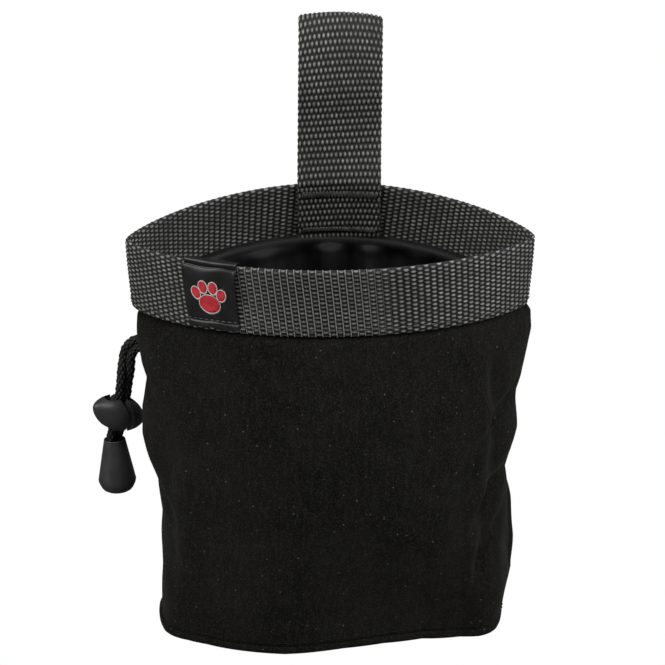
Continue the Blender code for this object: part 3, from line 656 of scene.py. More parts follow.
RIM_COLUMNS = 2 * int(round(RING_LENGTH / KNOT_ALONG / 2))
# the first grey of each webbing is painted highlight on the knot tops, the second the near-black
# between knots, deepened as painted shade
WEBBING = webbing_material("rim_webbing", 0.192, 0.0080, RIM_COLUMNS)
STRAP = webbing_material("strap_webbing", 0.150, 0.0125)
SUEDE = suede_material()
NYLON = nylon_material()
CORD = cord_material()
PLASTIC = plastic_material()
STEEL = metal_material("spring_steel", rgb(0.42, 0.42, 0.43), 0.32)
EYELET = metal_material("eyelet_metal", rgb(0.030, 0.030, 0.032), 0.38)
SATIN = satin_material()
RED = thread_material("red_thread", rgb(0.36, 0.016, 0.026), rgb(0.52, 0.030, 0.044), 0.5)
WHITE = thread_material("white_thread", rgb(0.52, 0.50, 0.48), rgb(0.72, 0.70, 0.68), 0.55)
DARK_GREY = thread_material("bar_thread", rgb(0.030, 0.030, 0.029), rgb(0.062, 0.062, 0.060), 0.5)
BLACK = thread_material("black_thread", rgb(0.003, 0.003, 0.003), rgb(0.008, 0.008, 0.0075), 0.8)


# ---- woven webbing ----
def knot_height(u, v, ridge):
    """Height of the woven knots, 0 to 1, at weave coordinates u along and v across, and of
    the ridges between their columns."""
    column = np.floor(u)
    v = v + 0.5 * (column % 2)
    du = np.abs(u - column - 0.5) / 0.50
    dv = np.abs(v - np.floor(v) - 0.5) / 0.46
    knots = np.clip(1 - du**2.4 - dv**2.2, 0, 1) ** 0.55
    return np.maximum(knots, ridge * smoothstep(0.40, 0.5, np.abs(u - column - 0.5)))


def ridge_share(place):
    """How far the ridges between columns stand out, at a share round the ring."""
    rise = smoothstep(RIDGES_FROM, RIDGES_FROM + RIDGES_FADE, place)
    return rise * (1 - smoothstep(RIDGES_TO - RIDGES_FADE, RIDGES_TO, place))


def strap_profile(width, thickness, face_rows, edge_rows):
    """Round a strap's cross-section: distance across, distance out and weave coordinate v."""
    half, rounding = width / 2, thickness / 2
    straight = half - rounding
    across, out = [], []
    for side in (1, -1):
        face = np.linspace(-straight, straight, face_rows, endpoint=False) * side
        across += list(face)
        out += [rounding * side] * face_rows
        turn = np.linspace(0, math.pi, edge_rows, endpoint=False)
        across += list(side * (straight + rounding * np.sin(turn)))
        out += list(side * rounding * np.cos(turn))
    across, out = np.array(across), np.array(out)
    step = np.hypot(np.diff(across, append=across[0]), np.diff(out, append=out[0]))
    v = np.concatenate([[0], np.cumsum(step)[:-1]])
    return across, out, v, step.sum()


def make_rim():
    """The ring of webbing, woven on both faces and round its selvages."""
    columns = RIM_COLUMNS
    stops = np.array([0.0, 0.12, 0.34, 0.66, 0.88])
    across, out, v, perimeter = strap_profile(RIM_WIDTH, WEBBING_THICKNESS, 62, 5)
    knots = 2 * int(round(perimeter / KNOT_ACROSS / 2))
    v = v / perimeter * knots
    u = (np.arange(columns)[:, None] + stops).ravel()
    drop = RIM_WIDTH / 2 - across
    uu, vv = np.meshgrid(u, v)
    dd = np.broadcast_to(drop[:, None], uu.shape)
    pp = (uu + WEAVE_SHEAR * dd / RIM_WIDTH) / columns % 1.0
    surface, normal = rim_frame(pp, dd)
    ridge = ridge_share(uu / columns)
    relief = knot_height(uu, vv, ridge) * KNOT_RELIEF - KNOT_RELIEF * 0.5
    edge = 1 - smoothstep(0.6, 1.0, np.abs(across) / (RIM_WIDTH / 2))[:, None] * 0.3
    reach = out[:, None] * (1 + relief / (WEBBING_THICKNESS / 2) * edge)
    # selvage: the weft's small loops stand out along both edges
    loops = 0.5 + 0.5 * np.cos(TAU * uu)
    bulge = np.clip(np.abs(across) - (RIM_WIDTH - WEBBING_THICKNESS) / 2, 0, None)[:, None]
    downward = unit(step_down_rim(pp, dd))
    sideways = -np.sign(across)[:, None] * bulge * (0.25 + 0.55 * loops) * 0.6
    points = (
        surface + normal * (reach - WEBBING_THICKNESS / 2)[..., None]
        + downward * sideways[..., None]
    )
    uv = grid_uv(uu, vv, True, True, columns, knots)
    piece = grid_piece("rim_webbing", points, WEBBING, True, True, uv, flip=True)
    settle(piece, "pouch", "webbing", "rim_band")


def strap_path():
    """The loop strap's centre line in Y and Z, from its inner end up, over and down outside."""
    centre = rim_surface(BACK_PLACE, 0.0)[1]
    inner = -WEBBING_THICKNESS * 1.5 - 0.0001
    outer = WEBBING_THICKNESS * 0.5 + 0.0001
    lean = rim_surface(BACK_PLACE, RIM_WIDTH)[1] - centre
    top = rim_surface(BACK_PLACE, 0.0)[2]
    points = []
    for drop in (0.0214, 0.0180, 0.0120, 0.0060, 0.0012):
        points.append((centre + inner + lean * drop / RIM_WIDTH, top - drop))
    front = centre + inner - 0.0003
    points += [
        (front, 0.1500), (front + 0.0008, 0.1600), (front + 0.0006, 0.1720),
        (front - 0.0006, 0.1840), (front, 0.1960), (front + 0.0014, 0.2035),
        (front + 0.0032, 0.2078), (front + 0.0054, 0.2094), (front + 0.0076, 0.2078),
        (front + 0.0092, 0.2030), (front + 0.0100, 0.1950), (front + 0.0102, 0.1850),
        (front + 0.0094, 0.1750), (front + 0.0078, 0.1650), (front + 0.0058, 0.1570),
        (centre + outer + 0.0006, 0.1500),
    ]
    for drop in (0.0030, 0.0090, 0.0160, 0.0226):
        points.append((centre + outer + 0.0002 + lean * drop / RIM_WIDTH, top - drop))
    return np.array(points)


def smooth_line(points, spacing):
    """Points at even distances on a Catmull-Rom curve through these points."""
    padded = np.vstack([2 * points[0] - points[1], points, 2 * points[-1] - points[-2]])
    fine = []
    share = np.linspace(0, 1, 24, endpoint=False)[:, None]
    for p0, p1, p2, p3 in zip(padded, padded[1:], padded[2:], padded[3:]):
        fine.append(0.5 * (
            2 * p1 + (p2 - p0) * share + (2 * p0 - 5 * p1 + 4 * p2 - p3) * share**2
            + (3 * p1 - p0 - 3 * p2 + p3) * share**3
        ))
    fine = np.vstack([*fine, points[-1:]])
    length = run_along(fine)
    count = int(round(length[-1] / spacing)) + 1
    even = np.linspace(0, length[-1], count)
    line = np.stack([np.interp(even, length, fine[:, k]) for k in range(points.shape[1])], -1)
    return line, even


LOOP_CENTRE_X = 0.0036
LOOP_WIDTH = 0.0298
BACK_PLACE = place_of_x(LOOP_CENTRE_X, True)
ROW_SLANT = math.radians(3.0)


def make_strap():
    """The belt loop and its sewn legs: one strap, bent over the rim."""
    samples = 5
    line, run = smooth_line(strap_path(), KNOT_ALONG / samples)
    across, out, v, perimeter = strap_profile(LOOP_WIDTH, WEBBING_THICKNESS, 74, 5)
    knots = 2 * int(round(perimeter / (KNOT_ACROSS * 1.06) / 2))
    v = v / perimeter * knots
    tangent = unit(np.gradient(line, axis=0))
    # the strap's front face looks forward on the front leg and back on the rear leg
    normal = np.stack([-tangent[:, 1], tangent[:, 0]], -1)
    top = rim_surface(BACK_PLACE, 0.0)[2]
    sewn = 1 - smoothstep(top - 0.002, top + 0.020, line[:, 1])
    lifted = smoothstep(top, 0.2095, line[:, 1])
    u = run / KNOT_ALONG
    uu, vv = np.meshgrid(u, v)
    uu = uu - across[:, None] * math.tan(ROW_SLANT) / KNOT_ALONG
    relief = knot_height(uu, vv, 0.0) * KNOT_RELIEF - KNOT_RELIEF * 0.5
    reach = out[:, None] + np.sign(out)[:, None] * relief
    wide = across[:, None] * (1 + 0.010 * np.cos(TAU * uu) * (np.abs(across) > 0.0138)[:, None])
    # the sewn legs follow the rim's curve, and the free loop is turned a little and crowned
    back_line = rim_surface(BACK_PLACE - across / RING_LENGTH, 0.012)
    curve = (back_line[:, 1] - rim_surface(BACK_PLACE, 0.012)[1])[:, None]
    turn = across[:, None] * 0.105 * lifted
    crown = -(across[:, None] / (LOOP_WIDTH / 2)) ** 2 * 0.0016 * lifted**3
    x = LOOP_CENTRE_X + wide + 0.0005 * lifted - 0.0003
    y = line[:, 0] + normal[:, 0] * reach + curve * sewn + turn
    z = line[:, 1] + normal[:, 1] * reach + crown - across[:, None] * 0.045 * lifted**3
    points = np.stack([np.broadcast_to(x, uu.shape), y, z], -1)
    uv = grid_uv(uu, vv, True, False, 0, knots)
    faces = grid_faces(*uu.shape, True, False)
    piece = new_piece("belt_strap", points, faces, STRAP, uv)
    close_ends(piece)
    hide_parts("belt_loop", "loop_inner_leg", "loop_outer_leg")
    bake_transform(piece)


def close_ends(piece):
    """Closes a tube's open ends with flat faces."""
    with editing(piece) as build:
        made = bmesh.ops.holes_fill(build, edges=open_edges(build), sides=0)
        for face in made["faces"]:
            face.smooth = False


# ---- the bag ----
def side_reach(angle, height):
    """How far the drawn outline lies outside the smooth section, near each corner."""
    smooth = catmull(SECTIONS, 1, height)
    left = np.interp(height, *LEFT_SIDE.T) - smooth
    right = np.interp(height, *RIGHT_SIDE.T) - smooth
    return np.where(np.cos(angle) < 0, left, right)


def crease(distance, width, depth, ridge):
    """A fold's cross-section: a groove with a soft ridge beside it."""
    width = width * 1.5
    groove = -depth * np.exp(-((distance / width) ** 2))
    beside = ridge * np.exp(-(((distance - 1.9 * width) / (1.3 * width)) ** 2))
    return groove + beside


FOLDS = ripple_field(11, 9, 0.030, 0.085)
SMALL_FOLDS = ripple_field(23, 10, 0.010, 0.026)
# Slanting creases of the front: a point's height and x, the slope, width, depth and ridge, and
# the places in x between which the crease grows to its full depth.
SLANTS = (
    (0.060, 0.062, 1.35, 0.0022, 0.0016, 0.0013, 0.042, 0.058),
    (0.089, 0.066, 1.05, 0.0020, 0.0012, 0.0010, 0.040, 0.062),
    (0.048, 0.064, 1.50, 0.0024, 0.0010, 0.0010, 0.046, 0.060),
    (0.090, -0.067, -0.80, 0.0022, 0.0011, 0.0008, -0.050, -0.062),
    (0.055, -0.062, -1.60, 0.0022, 0.0009, 0.0008, -0.050, -0.058),
)


def bag_wall(angle, height, inset=0.0):
    """The cloth wall with its outline, folds and slumped foot."""
    points = wall_points(angle, height, inset)
    angle, height = np.broadcast_arrays(np.asarray(angle, float), np.asarray(height, float))
    cosine, sine = np.cos(angle), np.sin(angle)
    corner = smoothstep(0.72, 0.97, np.abs(cosine))
    calm = 1 - smoothstep(0.100, 0.118, height)
    reach = side_reach(angle, height) * corner
    points[..., 0] += np.sign(cosine) * reach
    out = unit(np.stack([cosine, sine * 0.9, np.zeros_like(cosine)], -1))
    x = points[..., 0]
    front = smoothstep(0.0, 0.35, -sine)
    # soft waves all over, stronger towards the sides
    along = angle * 0.058
    swell = FOLDS(along, height) * 0.0009 + SMALL_FOLDS(along, height) * 0.00022
    swell = swell * calm * smoothstep(0.0, 0.02, height) * (0.45 + 0.55 * np.abs(cosine))
    # the long upright fold on the right
    spine = 0.0585 - 0.055 * (0.108 - height) - 0.0016 * np.sin(height * 70)
    ends = smoothstep(0.012, 0.035, height) * (1 - smoothstep(0.095, 0.113, height))
    total = swell + crease(spine - x, 0.0018, 0.0017, 0.0012) * front * ends
    # a fainter one on the left
    left_line = -0.0560 - 0.020 * (height - 0.050)
    ends = smoothstep(0.016, 0.030, height) * (1 - smoothstep(0.070, 0.092, height))
    total = total + crease(x - left_line, 0.0020, 0.0009, 0.0006) * front * ends
    for rise, reach_x, slope, width, depth, ridge, faint, full in SLANTS:
        distance = (height - rise) - (x - reach_x) * slope
        total = total + crease(distance, width, depth, ridge) * smoothstep(faint, full, x) * front
    # the cloth gathers slightly where it is sewn to the rim
    gather = GATHERS(angle) * 0.00025 * (1 - smoothstep(0.0, 0.012, np.abs(height - 0.116)))
    points = points + out * (total + gather)[..., None]
    # the foot's front is pushed out of round
    slump = 1 - smoothstep(0.0, 0.075, height)
    push = np.interp(points[..., 0], *FOOT_PUSH.T)
    points[..., 1] += push * slump * smoothstep(-0.05, 0.35, -sine)
    return points


GATHERS = waves(5, 16, 60)


def make_bag():
    """The suede wall, from its hem behind the rim down to the base seam."""
    columns, rows = 360, 136
    angle = np.linspace(0, TAU, columns, endpoint=False)
    share = np.linspace(0, 1, rows)
    foot = BASE_UPSTAND - 0.0004
    aa, ss = np.meshgrid(angle, share)
    top = rim_top(aa) - RIM_WIDTH + 0.0040
    height = foot + (top - foot) * ss
    tuck = smoothstep(-0.0035, 0.0010, height - (rim_top(aa) - RIM_WIDTH)) * 0.0024
    roll = (1 - smoothstep(0.0, 0.0016, height - foot)) * 0.0007
    points = bag_wall(aa, height)
    points = points - spoke(aa) * (tuck + roll)[..., None]
    sewn = smoothstep(0.0, 0.0028, height - (rim_top(aa) - RIM_WIDTH))[..., None]
    hem = rim_follow(aa, height, WEBBING_THICKNESS + 0.0001)
    points = points * (1 - sewn) + hem * sewn
    piece = grid_piece("suede_wall", points, SUEDE, False, True)
    solidify(piece, FABRIC_THICKNESS)
    settle(piece, "pouch", "suede", "front_panel", "back_panel")


def base_ring(outline, share, height):
    """The outline drawn in to a share of its size about the base's middle, at a height."""
    centre = np.array([0.0, BASE_CENTRE_Y, 0.0])
    ring = centre + (outline - centre) * share
    ring[:, 2] = height
    return ring


def make_base():
    """The base: a flat underside with its edge turned up in a soft roll to the seam."""
    columns = 420
    angle = np.linspace(0, TAU, columns, endpoint=False)
    outline = bag_wall(angle, np.full(columns, 0.001))
    rings = []
    swell = 0.5 + 0.5 * waves(8, 8, 9)(angle) / 2.0
    profile = (
        (0.30, 0.0006), (0.60, 0.0003), (0.85, 0.0), (0.955, 0.0), (0.985, 0.0003),
        (1.000, 0.0010), (1.006, 0.0018), (1.004, 0.0026), (0.996, 0.0031), (0.986, 0.0030),
        (0.982, 0.0024),
    )
    for share, height in profile:
        rings.append(base_ring(outline, share, height * (1 + 0.12 * swell * (share > 0.9))))
    for share, height in ((0.975, 0.0018), (0.95, 0.0016), (0.5, 0.0018)):
        rings.append(base_ring(outline, share, height))
    piece = grid_piece("suede_base", np.array(rings), SUEDE, False, True)
    with editing(piece) as build:
        bmesh.ops.holes_fill(build, edges=open_edges(build), sides=0)
        bmesh.ops.triangulate(build, faces=[f for f in build.faces if len(f.verts) > 4])
    settle(piece, "pouch", "suede", "base_panel")


def stitch_line(centres, directions, normals, length, radius, bow):
    """One mesh of short stitches: each a bent capsule lying on the cloth along its direction."""
    rings, sides = 7, 6
    share = np.linspace(-1, 1, rings)
    girth = np.sqrt(np.clip(1 - (np.abs(share) ** 3.0), 0.02, 1))
    points, faces = [], []
    for centre, direction, normal in zip(centres, directions, normals):
        side = np.cross(direction, normal)
        start = sum(len(p) for p in points)
        body = []
        for s, g in zip(share, girth):
            middle = centre + direction * s * length / 2 + normal * bow * (1 - s * s)
            for k in range(sides):
                turn = TAU * k / sides
                body.append(
                    middle + (side * math.cos(turn) + normal * math.sin(turn)) * radius * g
                )
        points.append(np.array(body))
        for r in range(rings - 1):
            for k in range(sides):
                j = (k + 1) % sides
                faces.append((
                    start + r * sides + k, start + r * sides + j,
                    start + (r + 1) * sides + j, start + (r + 1) * sides + k,
                ))
        faces.append(tuple(start + k for k in reversed(range(sides))))
        faces.append(tuple(start + (rings - 1) * sides + k for k in range(sides)))
    return np.vstack(points), faces


def add_stitches(name, material, centres, directions, normals, length, radius, bow=0.00005):
    points, faces = stitch_line(centres, directions, normals, length, radius, bow)
    piece = new_piece(name, points, faces, material)
    with editing(piece):
        pass
    return piece


SEAM_PITCH = 0.0030
SEAM_DROP = RIM_WIDTH - 0.0022  # the rim's stitches lie this far below its top


def make_seams():
    """Stitches along the rim's lower edge and round the base seam."""
    count = int(RING_LENGTH / SEAM_PITCH)
    place = (np.arange(count) + 0.5) / count
    label_left, label_right = label_places()
    keep = ~((place > label_left - 0.002) & (place < label_right + 0.002))
    place = place[keep]
    surface, normal = rim_frame(place, np.full(len(place), SEAM_DROP))
    along = unit(rim_surface(place + 0.001, SEAM_DROP) - surface)
    piece = add_stitches("rim_stitches", DARK_GREY, surface + normal * 0.00022, along, normal,
                         0.0024, 0.00026)
    settle(piece, "pouch", "grey_thread", "rim_stitch_thread")

    angle = np.linspace(0, TAU, 4001)
    line = bag_wall(angle, np.full(4001, BASE_UPSTAND + 0.0016))
    run = run_along(line)
    count = int(run[-1] / SEAM_PITCH)
    at = (np.arange(count) + 0.5) / count * run[-1]
    centres = np.stack([np.interp(at, run, line[:, k]) for k in range(3)], -1)
    ahead = np.stack([np.interp((at + 0.0008) % run[-1], run, line[:, k]) for k in range(3)], -1)
    along = unit(ahead - centres)
    normal = np.cross(along, np.array([0.0, 0.0, 1.0]))
    piece = add_stitches("base_seam_stitches", BLACK, centres + normal * 0.00005, along, normal,
                         0.0021, 0.00016)
    settle(piece, "pouch", "black_thread", "base_seam_thread")


# ---- the lining ----
PLEATS = waves(31, 16, 36)
PLEAT_SHIFT = waves(32, 6, 8)
LINING_WRINKLES = ripple_field(37, 12, 0.012, 0.040)
CASING_HEIGHT = 0.0985
CASING_HALF_HEIGHT = 0.0050
CASING_BULGE = 0.0040
LINING_ABOVE_RIM_EDGE = 0.0040
LINING_THICKNESS = 0.0005


def lining_points(angle, height, inset):
    """The lining with pleats that deepen towards the drawstring's casing."""
    points = bag_wall(angle, height, inset)
    near = np.exp(-(((height - CASING_HEIGHT - 0.015) / 0.018) ** 2))
    swing = angle + PLEAT_SHIFT(angle) * 0.020 * (0.125 - height) / 0.03
    pleat = PLEATS(swing) * 0.0034 * near
    pleat = pleat + LINING_WRINKLES(angle * 0.06, height) * 0.0007
    hem = 1 - 0.7 * smoothstep(-0.0020, 0.0015, height - rim_top(angle) + RIM_WIDTH)
    depth = np.clip(pleat + 0.0002 * near, -0.0014, 0.008) * hem
    return points - spoke(angle) * depth[..., None]


def make_lining():
    """The nylon wall with the casing's bulge, and the floor of the lining."""
    columns, rows = 480, 102
    angle = np.linspace(0, TAU, columns, endpoint=False)
    share = np.linspace(0, 1, rows)
    aa, ss = np.meshgrid(angle, share)
    foot = 0.0034
    top = rim_top(aa) - RIM_WIDTH + LINING_ABOVE_RIM_EDGE
    height = foot + (top - foot) * ss
    above = height - (rim_top(aa) - RIM_WIDTH)
    tuck = smoothstep(-0.004, 0.001, above) * 0.0012
    turned_in = smoothstep(LINING_ABOVE_RIM_EDGE - 0.0012, LINING_ABOVE_RIM_EDGE, above)
    bulge = np.exp(-(((height - CASING_HEIGHT) / CASING_HALF_HEIGHT) ** 4)) * CASING_BULGE
    points = lining_points(aa, height, 0.0024 + tuck + bulge)
    sewn = smoothstep(-0.0010, 0.0026, above)[..., None] * 0.96
    hem = rim_follow(aa, height, WEBBING_THICKNESS * 2 + 0.0006 - turned_in * 0.0018)
    points = points * (1 - sewn) + hem * sewn
    piece = grid_piece("nylon_lining", points, NYLON, False, True)
    solidify(piece, LINING_THICKNESS)
    settle(piece, "pouch", "nylon", "lining_wall", "drawstring_casing")

    rings = np.linspace(0.02, 1.0, 40)
    spokes = np.linspace(0, TAU, 240, endpoint=False)
    edge = bag_wall(spokes, np.full(240, foot), 0.0022)
    rows_of = []
    wrinkle = ripple_field(41, 12, 0.014, 0.050)
    for ring in rings:
        line = base_ring(edge, ring, 0.0030)
        calm = 1 - ring**6
        line[:, 2] += (0.0004 + 0.0004 * wrinkle(line[:, 0], line[:, 1])) * calm
        rows_of.append(line)
    floor = grid_piece("nylon_floor", np.array(rows_of), NYLON, False, True)
    with editing(floor) as build:
        inner = [e for e in open_edges(build) if e.calc_length() < 0.0003]
        bmesh.ops.holes_fill(build, edges=inner, sides=0)
    solidify(floor, LINING_THICKNESS)
    settle(floor, "pouch", "nylon", "lining_floor")


# ---- the label ----
LABEL_WIDTH = 0.0200
LABEL_CENTRE_X = -0.0402
LABEL_LENGTH = 0.0243
LABEL_STITCH_RUN = 0.0228      # from the fold's top down to the row of stitches


def label_places():
    middle = place_of_x(LABEL_CENTRE_X, False)
    half = LABEL_WIDTH / 2 / RING_LENGTH
    return middle - half, middle + half


def label_layer(place, run, stand):
    """The label's face: run is the length from the fold's top, positive outside."""
    lift = 0.00042 + stand
    over = WEBBING_THICKNESS / 2 + lift
    turn_length = math.pi * over
    flat = np.abs(run) - turn_length / 2
    drop = np.clip(flat, 0, None)
    surface, normal = rim_frame(place, drop)
    downward = unit(step_down_rim(place, drop))
    middle = surface - normal * (WEBBING_THICKNESS / 2)
    side = np.sign(run)
    turn = np.clip(run / over, -math.pi / 2, math.pi / 2)
    out = np.where(flat > 0, side * over, over * np.sin(turn))
    up = np.where(flat > 0, 0.0, over * np.cos(turn))
    return middle + normal * out[..., None] - downward * up[..., None], normal * side[..., None]


def label_swell(run):
    """The soft cushion of the label's face: fullest in its upper half."""
    return 0.0017 * np.sin(np.clip((run - 0.0030) / 0.0195, 0, 1) ** 0.62 * math.pi)


def make_label():
    """The satin label folded over the rim, pressed flat, with a soft groove under its fold."""
    left, right = label_places()
    columns, rows = 60, 150
    place = np.linspace(left, right, columns)
    run = np.linspace(LABEL_LENGTH + 0.0012, -0.0215, rows)
    pp, rr = np.meshgrid(place, run)
    outside = smoothstep(0.0, 0.002, rr)
    puff = 0.00022 * np.exp(-(((rr - 0.0032) / 0.0007) ** 2)) * -1.6
    puff = puff + 0.0005 * np.exp(-(((rr - 0.0012) / 0.0012) ** 2))
    swell = label_swell(rr)
    sewn = -0.00030 * np.exp(-(((rr - LABEL_STITCH_RUN) / 0.0006) ** 2))
    across = (pp - left) / (right - left)
    waver = 0.00012 * np.sin(across * 9 + rr * 400)
    stand = 0.00030 + (puff + swell + sewn + waver) * outside
    stand = stand + 0.00012 * smoothstep(0.03, 0.0, np.minimum(across, 1 - across))
    points, _ = label_layer(pp, rr, stand)
    uu, vv = across * 90, rr / 0.00026
    uv = grid_uv(uu, vv, False, False)
    piece = grid_piece("satin_label", points, SATIN, False, False, uv, flip=True)
    solidify(piece, 0.00045, 1.0)
    settle(piece, "pouch", "satin", "label")

    count = 9
    spots = left + (right - left) * (np.arange(count) + 0.5) / count
    run, stand = np.full(count, LABEL_STITCH_RUN), np.full(count, 0.00052)
    centres, normals = label_layer(spots, run, stand)
    along = unit(rim_surface(spots + 0.001, 0.02) - rim_surface(spots - 0.001, 0.02))
    stitches = add_stitches("label_stitches", DARK_GREY, centres, along, normals, 0.0017, 0.00022)
    settle(stitches, "pouch", "grey_thread", "label_stitch")


def emblem_piece(name, material, shapes, base, height, slot, *replaced):
    """Raised embroidery: each shape is a centre, two half sizes and a tilt, on the label's face."""
    left, right = label_places()
    rings, spokes = 9, 40
    points, faces = [], []
    for cx, cy, rx, ry, tilt in shapes:
        start = sum(len(p) for p in points)
        share = np.linspace(0, 1, rings + 1)[1:]
        turn = np.linspace(0, TAU, spokes, endpoint=False)
        ss, tt = np.meshgrid(share, turn, indexing="ij")
        x = rx * ss * np.cos(tt)
        y = ry * ss * np.sin(tt)
        px = cx + x * math.cos(tilt) - y * math.sin(tilt)
        py = cy + x * math.sin(tilt) + y * math.cos(tilt)
        place = (left + right) / 2 + px / RING_LENGTH
        run = EMBLEM_DROP - py
        rise = base + label_swell(run) + height * np.sqrt(np.clip(1 - ss**3, 0, 1))
        rise = rise + 0.00003 * np.sin(px / 0.00016) * (1 - ss**4)
        body, _ = label_layer(place, run, rise)
        middle, _ = label_layer(
            np.array([(left + right) / 2 + cx / RING_LENGTH]), np.array([EMBLEM_DROP - cy]),
            np.array([base + label_swell(EMBLEM_DROP - cy) + height]),
        )
        points.append(np.vstack([middle, body.reshape(-1, 3)]))
        for k in range(spokes):
            j = (k + 1) % spokes
            faces.append((start, start + 1 + k, start + 1 + j))
            for r in range(rings - 1):
                a = start + 1 + r * spokes
                faces.append((a + k, a + spokes + k, a + spokes + j, a + j))
    piece = new_piece(name, np.vstack(points), faces, material)
    with editing(piece) as build:
        bmesh.ops.holes_fill(build, edges=open_edges(build), sides=0)
    settle(piece, "pouch", slot, *replaced)


EMBLEM_DROP = 0.0160
PAW = (
    (0.0, -0.0022, 0.0039, 0.0027, 0.0),
    (-0.0048, 0.0009, 0.00155, 0.00190, 0.45),
    (-0.0019, 0.0030, 0.00155, 0.00200, 0.12),
    (0.0019, 0.0030, 0.00155, 0.00200, -0.12),
    (0.0048, 0.0009, 0.00155, 0.00190, -0.45),
)


def make_emblem():
    """A plain paw print in red thread with a pale edge."""
    edge = 0.00034
    wider = [(x, y, rx + edge, ry + edge, tilt) for x, y, rx, ry, tilt in PAW]
    emblem_piece("paw_edge", WHITE, wider, 0.00074, 0.00014, "grey_thread")
    emblem_piece("paw_print", RED, PAW, 0.00090, 0.00026, "red_thread", "label_emblem")


# ---- bar stitching on the strap ----
def make_strap_stitches():
    """Zigzag bars of black thread across the strap, on both faces of the rim."""
    rows = (("upper", 0.0014, 0.0044), ("lower", 0.0160, 0.0180))
    for side, sign in (("inner", -1), ("outer", 1)):
        for row, high, low in rows:
            pitch = 0.00062
            count = int((LOOP_WIDTH - 0.0014) / pitch)
            offset = (np.arange(count) - (count - 1) / 2) * pitch
            place = BACK_PLACE - offset / RING_LENGTH
            drop = np.full(count, (high + low) / 2)
            surface, normal = rim_frame(place, drop)
            up = -unit(step_down_rim(place, drop))
            along = np.cross(normal, up)
            lean = np.where(np.arange(count) % 2 == 0, 1, -1)[:, None] * 0.22
            direction = unit(up + along * lean)
            stand = WEBBING_THICKNESS + 0.00040
            middle = surface + normal * (stand if sign > 0 else -stand - WEBBING_THICKNESS)
            piece = add_stitches(f"strap_bar_{side}_{row}", DARK_GREY, middle, direction,
                                 normal * sign, (low - high) * 1.05, 0.00034, 0.00006)
            settle(piece, "pouch", "black_thread", f"loop_stitch_{side}_{row}")


# ---- the drawstring's tail ----
CORD_DIAMETER = 0.0030
STRAND_SPACING_SEEN = 0.0030
CORD_BEND_RADIUS = 0.0076
CORD_STRAIGHT_OUT = 0.0030
CORD_DROP = 0.0295
CORD_DROP_OUTWARD = 0.0044
CORD_INTO_BELL = 0.0065
STRANDS_TURN_WITHIN = 0.0085
EYELET_LENGTH = 0.0034
EYELET_STAND_OFF = 0.0009
LOCK_BELOW_BEND = 0.0183
LOCK_TURN = math.radians(60.0)
UP = Vector((0, 0, 1))
BELL_LEAN = Vector((0.045, 0.0, -1.0)).normalized()
BELL_SHIFT = Vector((-0.0013, 0.0, -0.0012))


def exit_axes():
    """The place and direction in which the cords leave the bag: the swing's own axis."""
    swing = next(j for j in frame["joints"] if j["name"] == "cord_swing")
    return Vector(swing["pos_m"]), Vector(swing["axis"]).normalized()


EXIT_POINT, EXIT_OUT = exit_axes()
BEND_END = Vector((CORD_STRAIGHT_OUT + CORD_BEND_RADIUS, -CORD_BEND_RADIUS))
DROP_END = BEND_END + Vector((CORD_DROP_OUTWARD, -CORD_DROP))
DROP_SLOPE = (DROP_END - BEND_END).normalized()
DOWN = (EXIT_OUT * DROP_SLOPE.x + UP * DROP_SLOPE.y).normalized()
ACROSS_STRANDS = (EXIT_OUT * -DROP_SLOPE.y + UP * DROP_SLOPE.x).normalized()


def exit_frame(out, rise):
    return EXIT_POINT + EXIT_OUT * out + UP * rise


LOCK_CENTRE = exit_frame(*BEND_END) + DOWN * LOCK_BELOW_BEND
BELL_MOUTH = exit_frame(*DROP_END)
TOWARDS = Matrix.Rotation(LOCK_TURN, 3, "Z") @ EXIT_OUT
LOCK_LONG = (TOWARDS - DOWN * TOWARDS.dot(DOWN)).normalized()


def strand_route(side):
    """The CAD route of one strand: straight out, round the bend, then down into the bell."""
    half = side * STRAND_SPACING_SEEN / 2
    radius = CORD_BEND_RADIUS + half
    route = [exit_frame(-(EYELET_LENGTH - EYELET_STAND_OFF), half), exit_frame(0.0, half)]
    lean = math.atan2(DROP_SLOPE.x, -DROP_SLOPE.y)
    for k in range(7):
        turn = (math.pi / 2 - lean) * k / 6
        out = CORD_STRAIGHT_OUT + radius * math.sin(turn)
        route.append(exit_frame(out, -CORD_BEND_RADIUS + radius * math.cos(turn)))
    for k in range(1, 10):
        along = (CORD_DROP + CORD_INTO_BELL) * k / 9
        share = min(1.0, along / STRANDS_TURN_WITHIN)
        apart = ACROSS_STRANDS.lerp(LOCK_LONG, share).normalized()
        shift = float(smoothstep(LOCK_BELOW_BEND - 0.004, CORD_DROP, along))
        route.append(exit_frame(*BEND_END) + DOWN * along + apart * half + BELL_SHIFT * shift)
    return np.array([list(p) for p in route])


def braided_tube(name, line):
    """A braided cord along a line of close points: plaited strands stand out as diamonds."""
    tangent = unit(np.gradient(line, axis=0))
    side = np.cross(tangent[0], [0.31, 0.87, 0.38])
    sides = []
    for t in tangent:
        side = side - t * (side @ t)
        side = side / np.linalg.norm(side)
        sides.append(side)
    sides = np.array(sides)
    other = np.cross(tangent, sides)
    run = run_along(line)
    turn = np.linspace(0, TAU, 28, endpoint=False)
    rr, tt = np.meshgrid(run, turn, indexing="ij")
    plaits, plait_pitch = 3.0, 0.0031
    uu, vv = plaits * tt, math.pi / plait_pitch * rr
    lumps = np.abs(np.cos(uu + vv)) * np.abs(np.cos(uu - vv))
    radius = CORD_DIAMETER / 2 * (0.89 + 0.30 * lumps**0.8)
    points = (
        line[:, None] + sides[:, None] * (np.cos(tt) * radius)[..., None]
        + other[:, None] * (np.sin(tt) * radius)[..., None]
    )
    uv = grid_uv(uu, vv, False, True, TAU * plaits)
    piece = grid_piece(name, points, CORD, False, True, uv)
    close_ends(piece)
    return piece


def axes(along, hint):
    """Three square axes, the third along the given one."""
    z = along.normalized()
    y = z.cross(hint).normalized()
    return y.cross(z), y, z


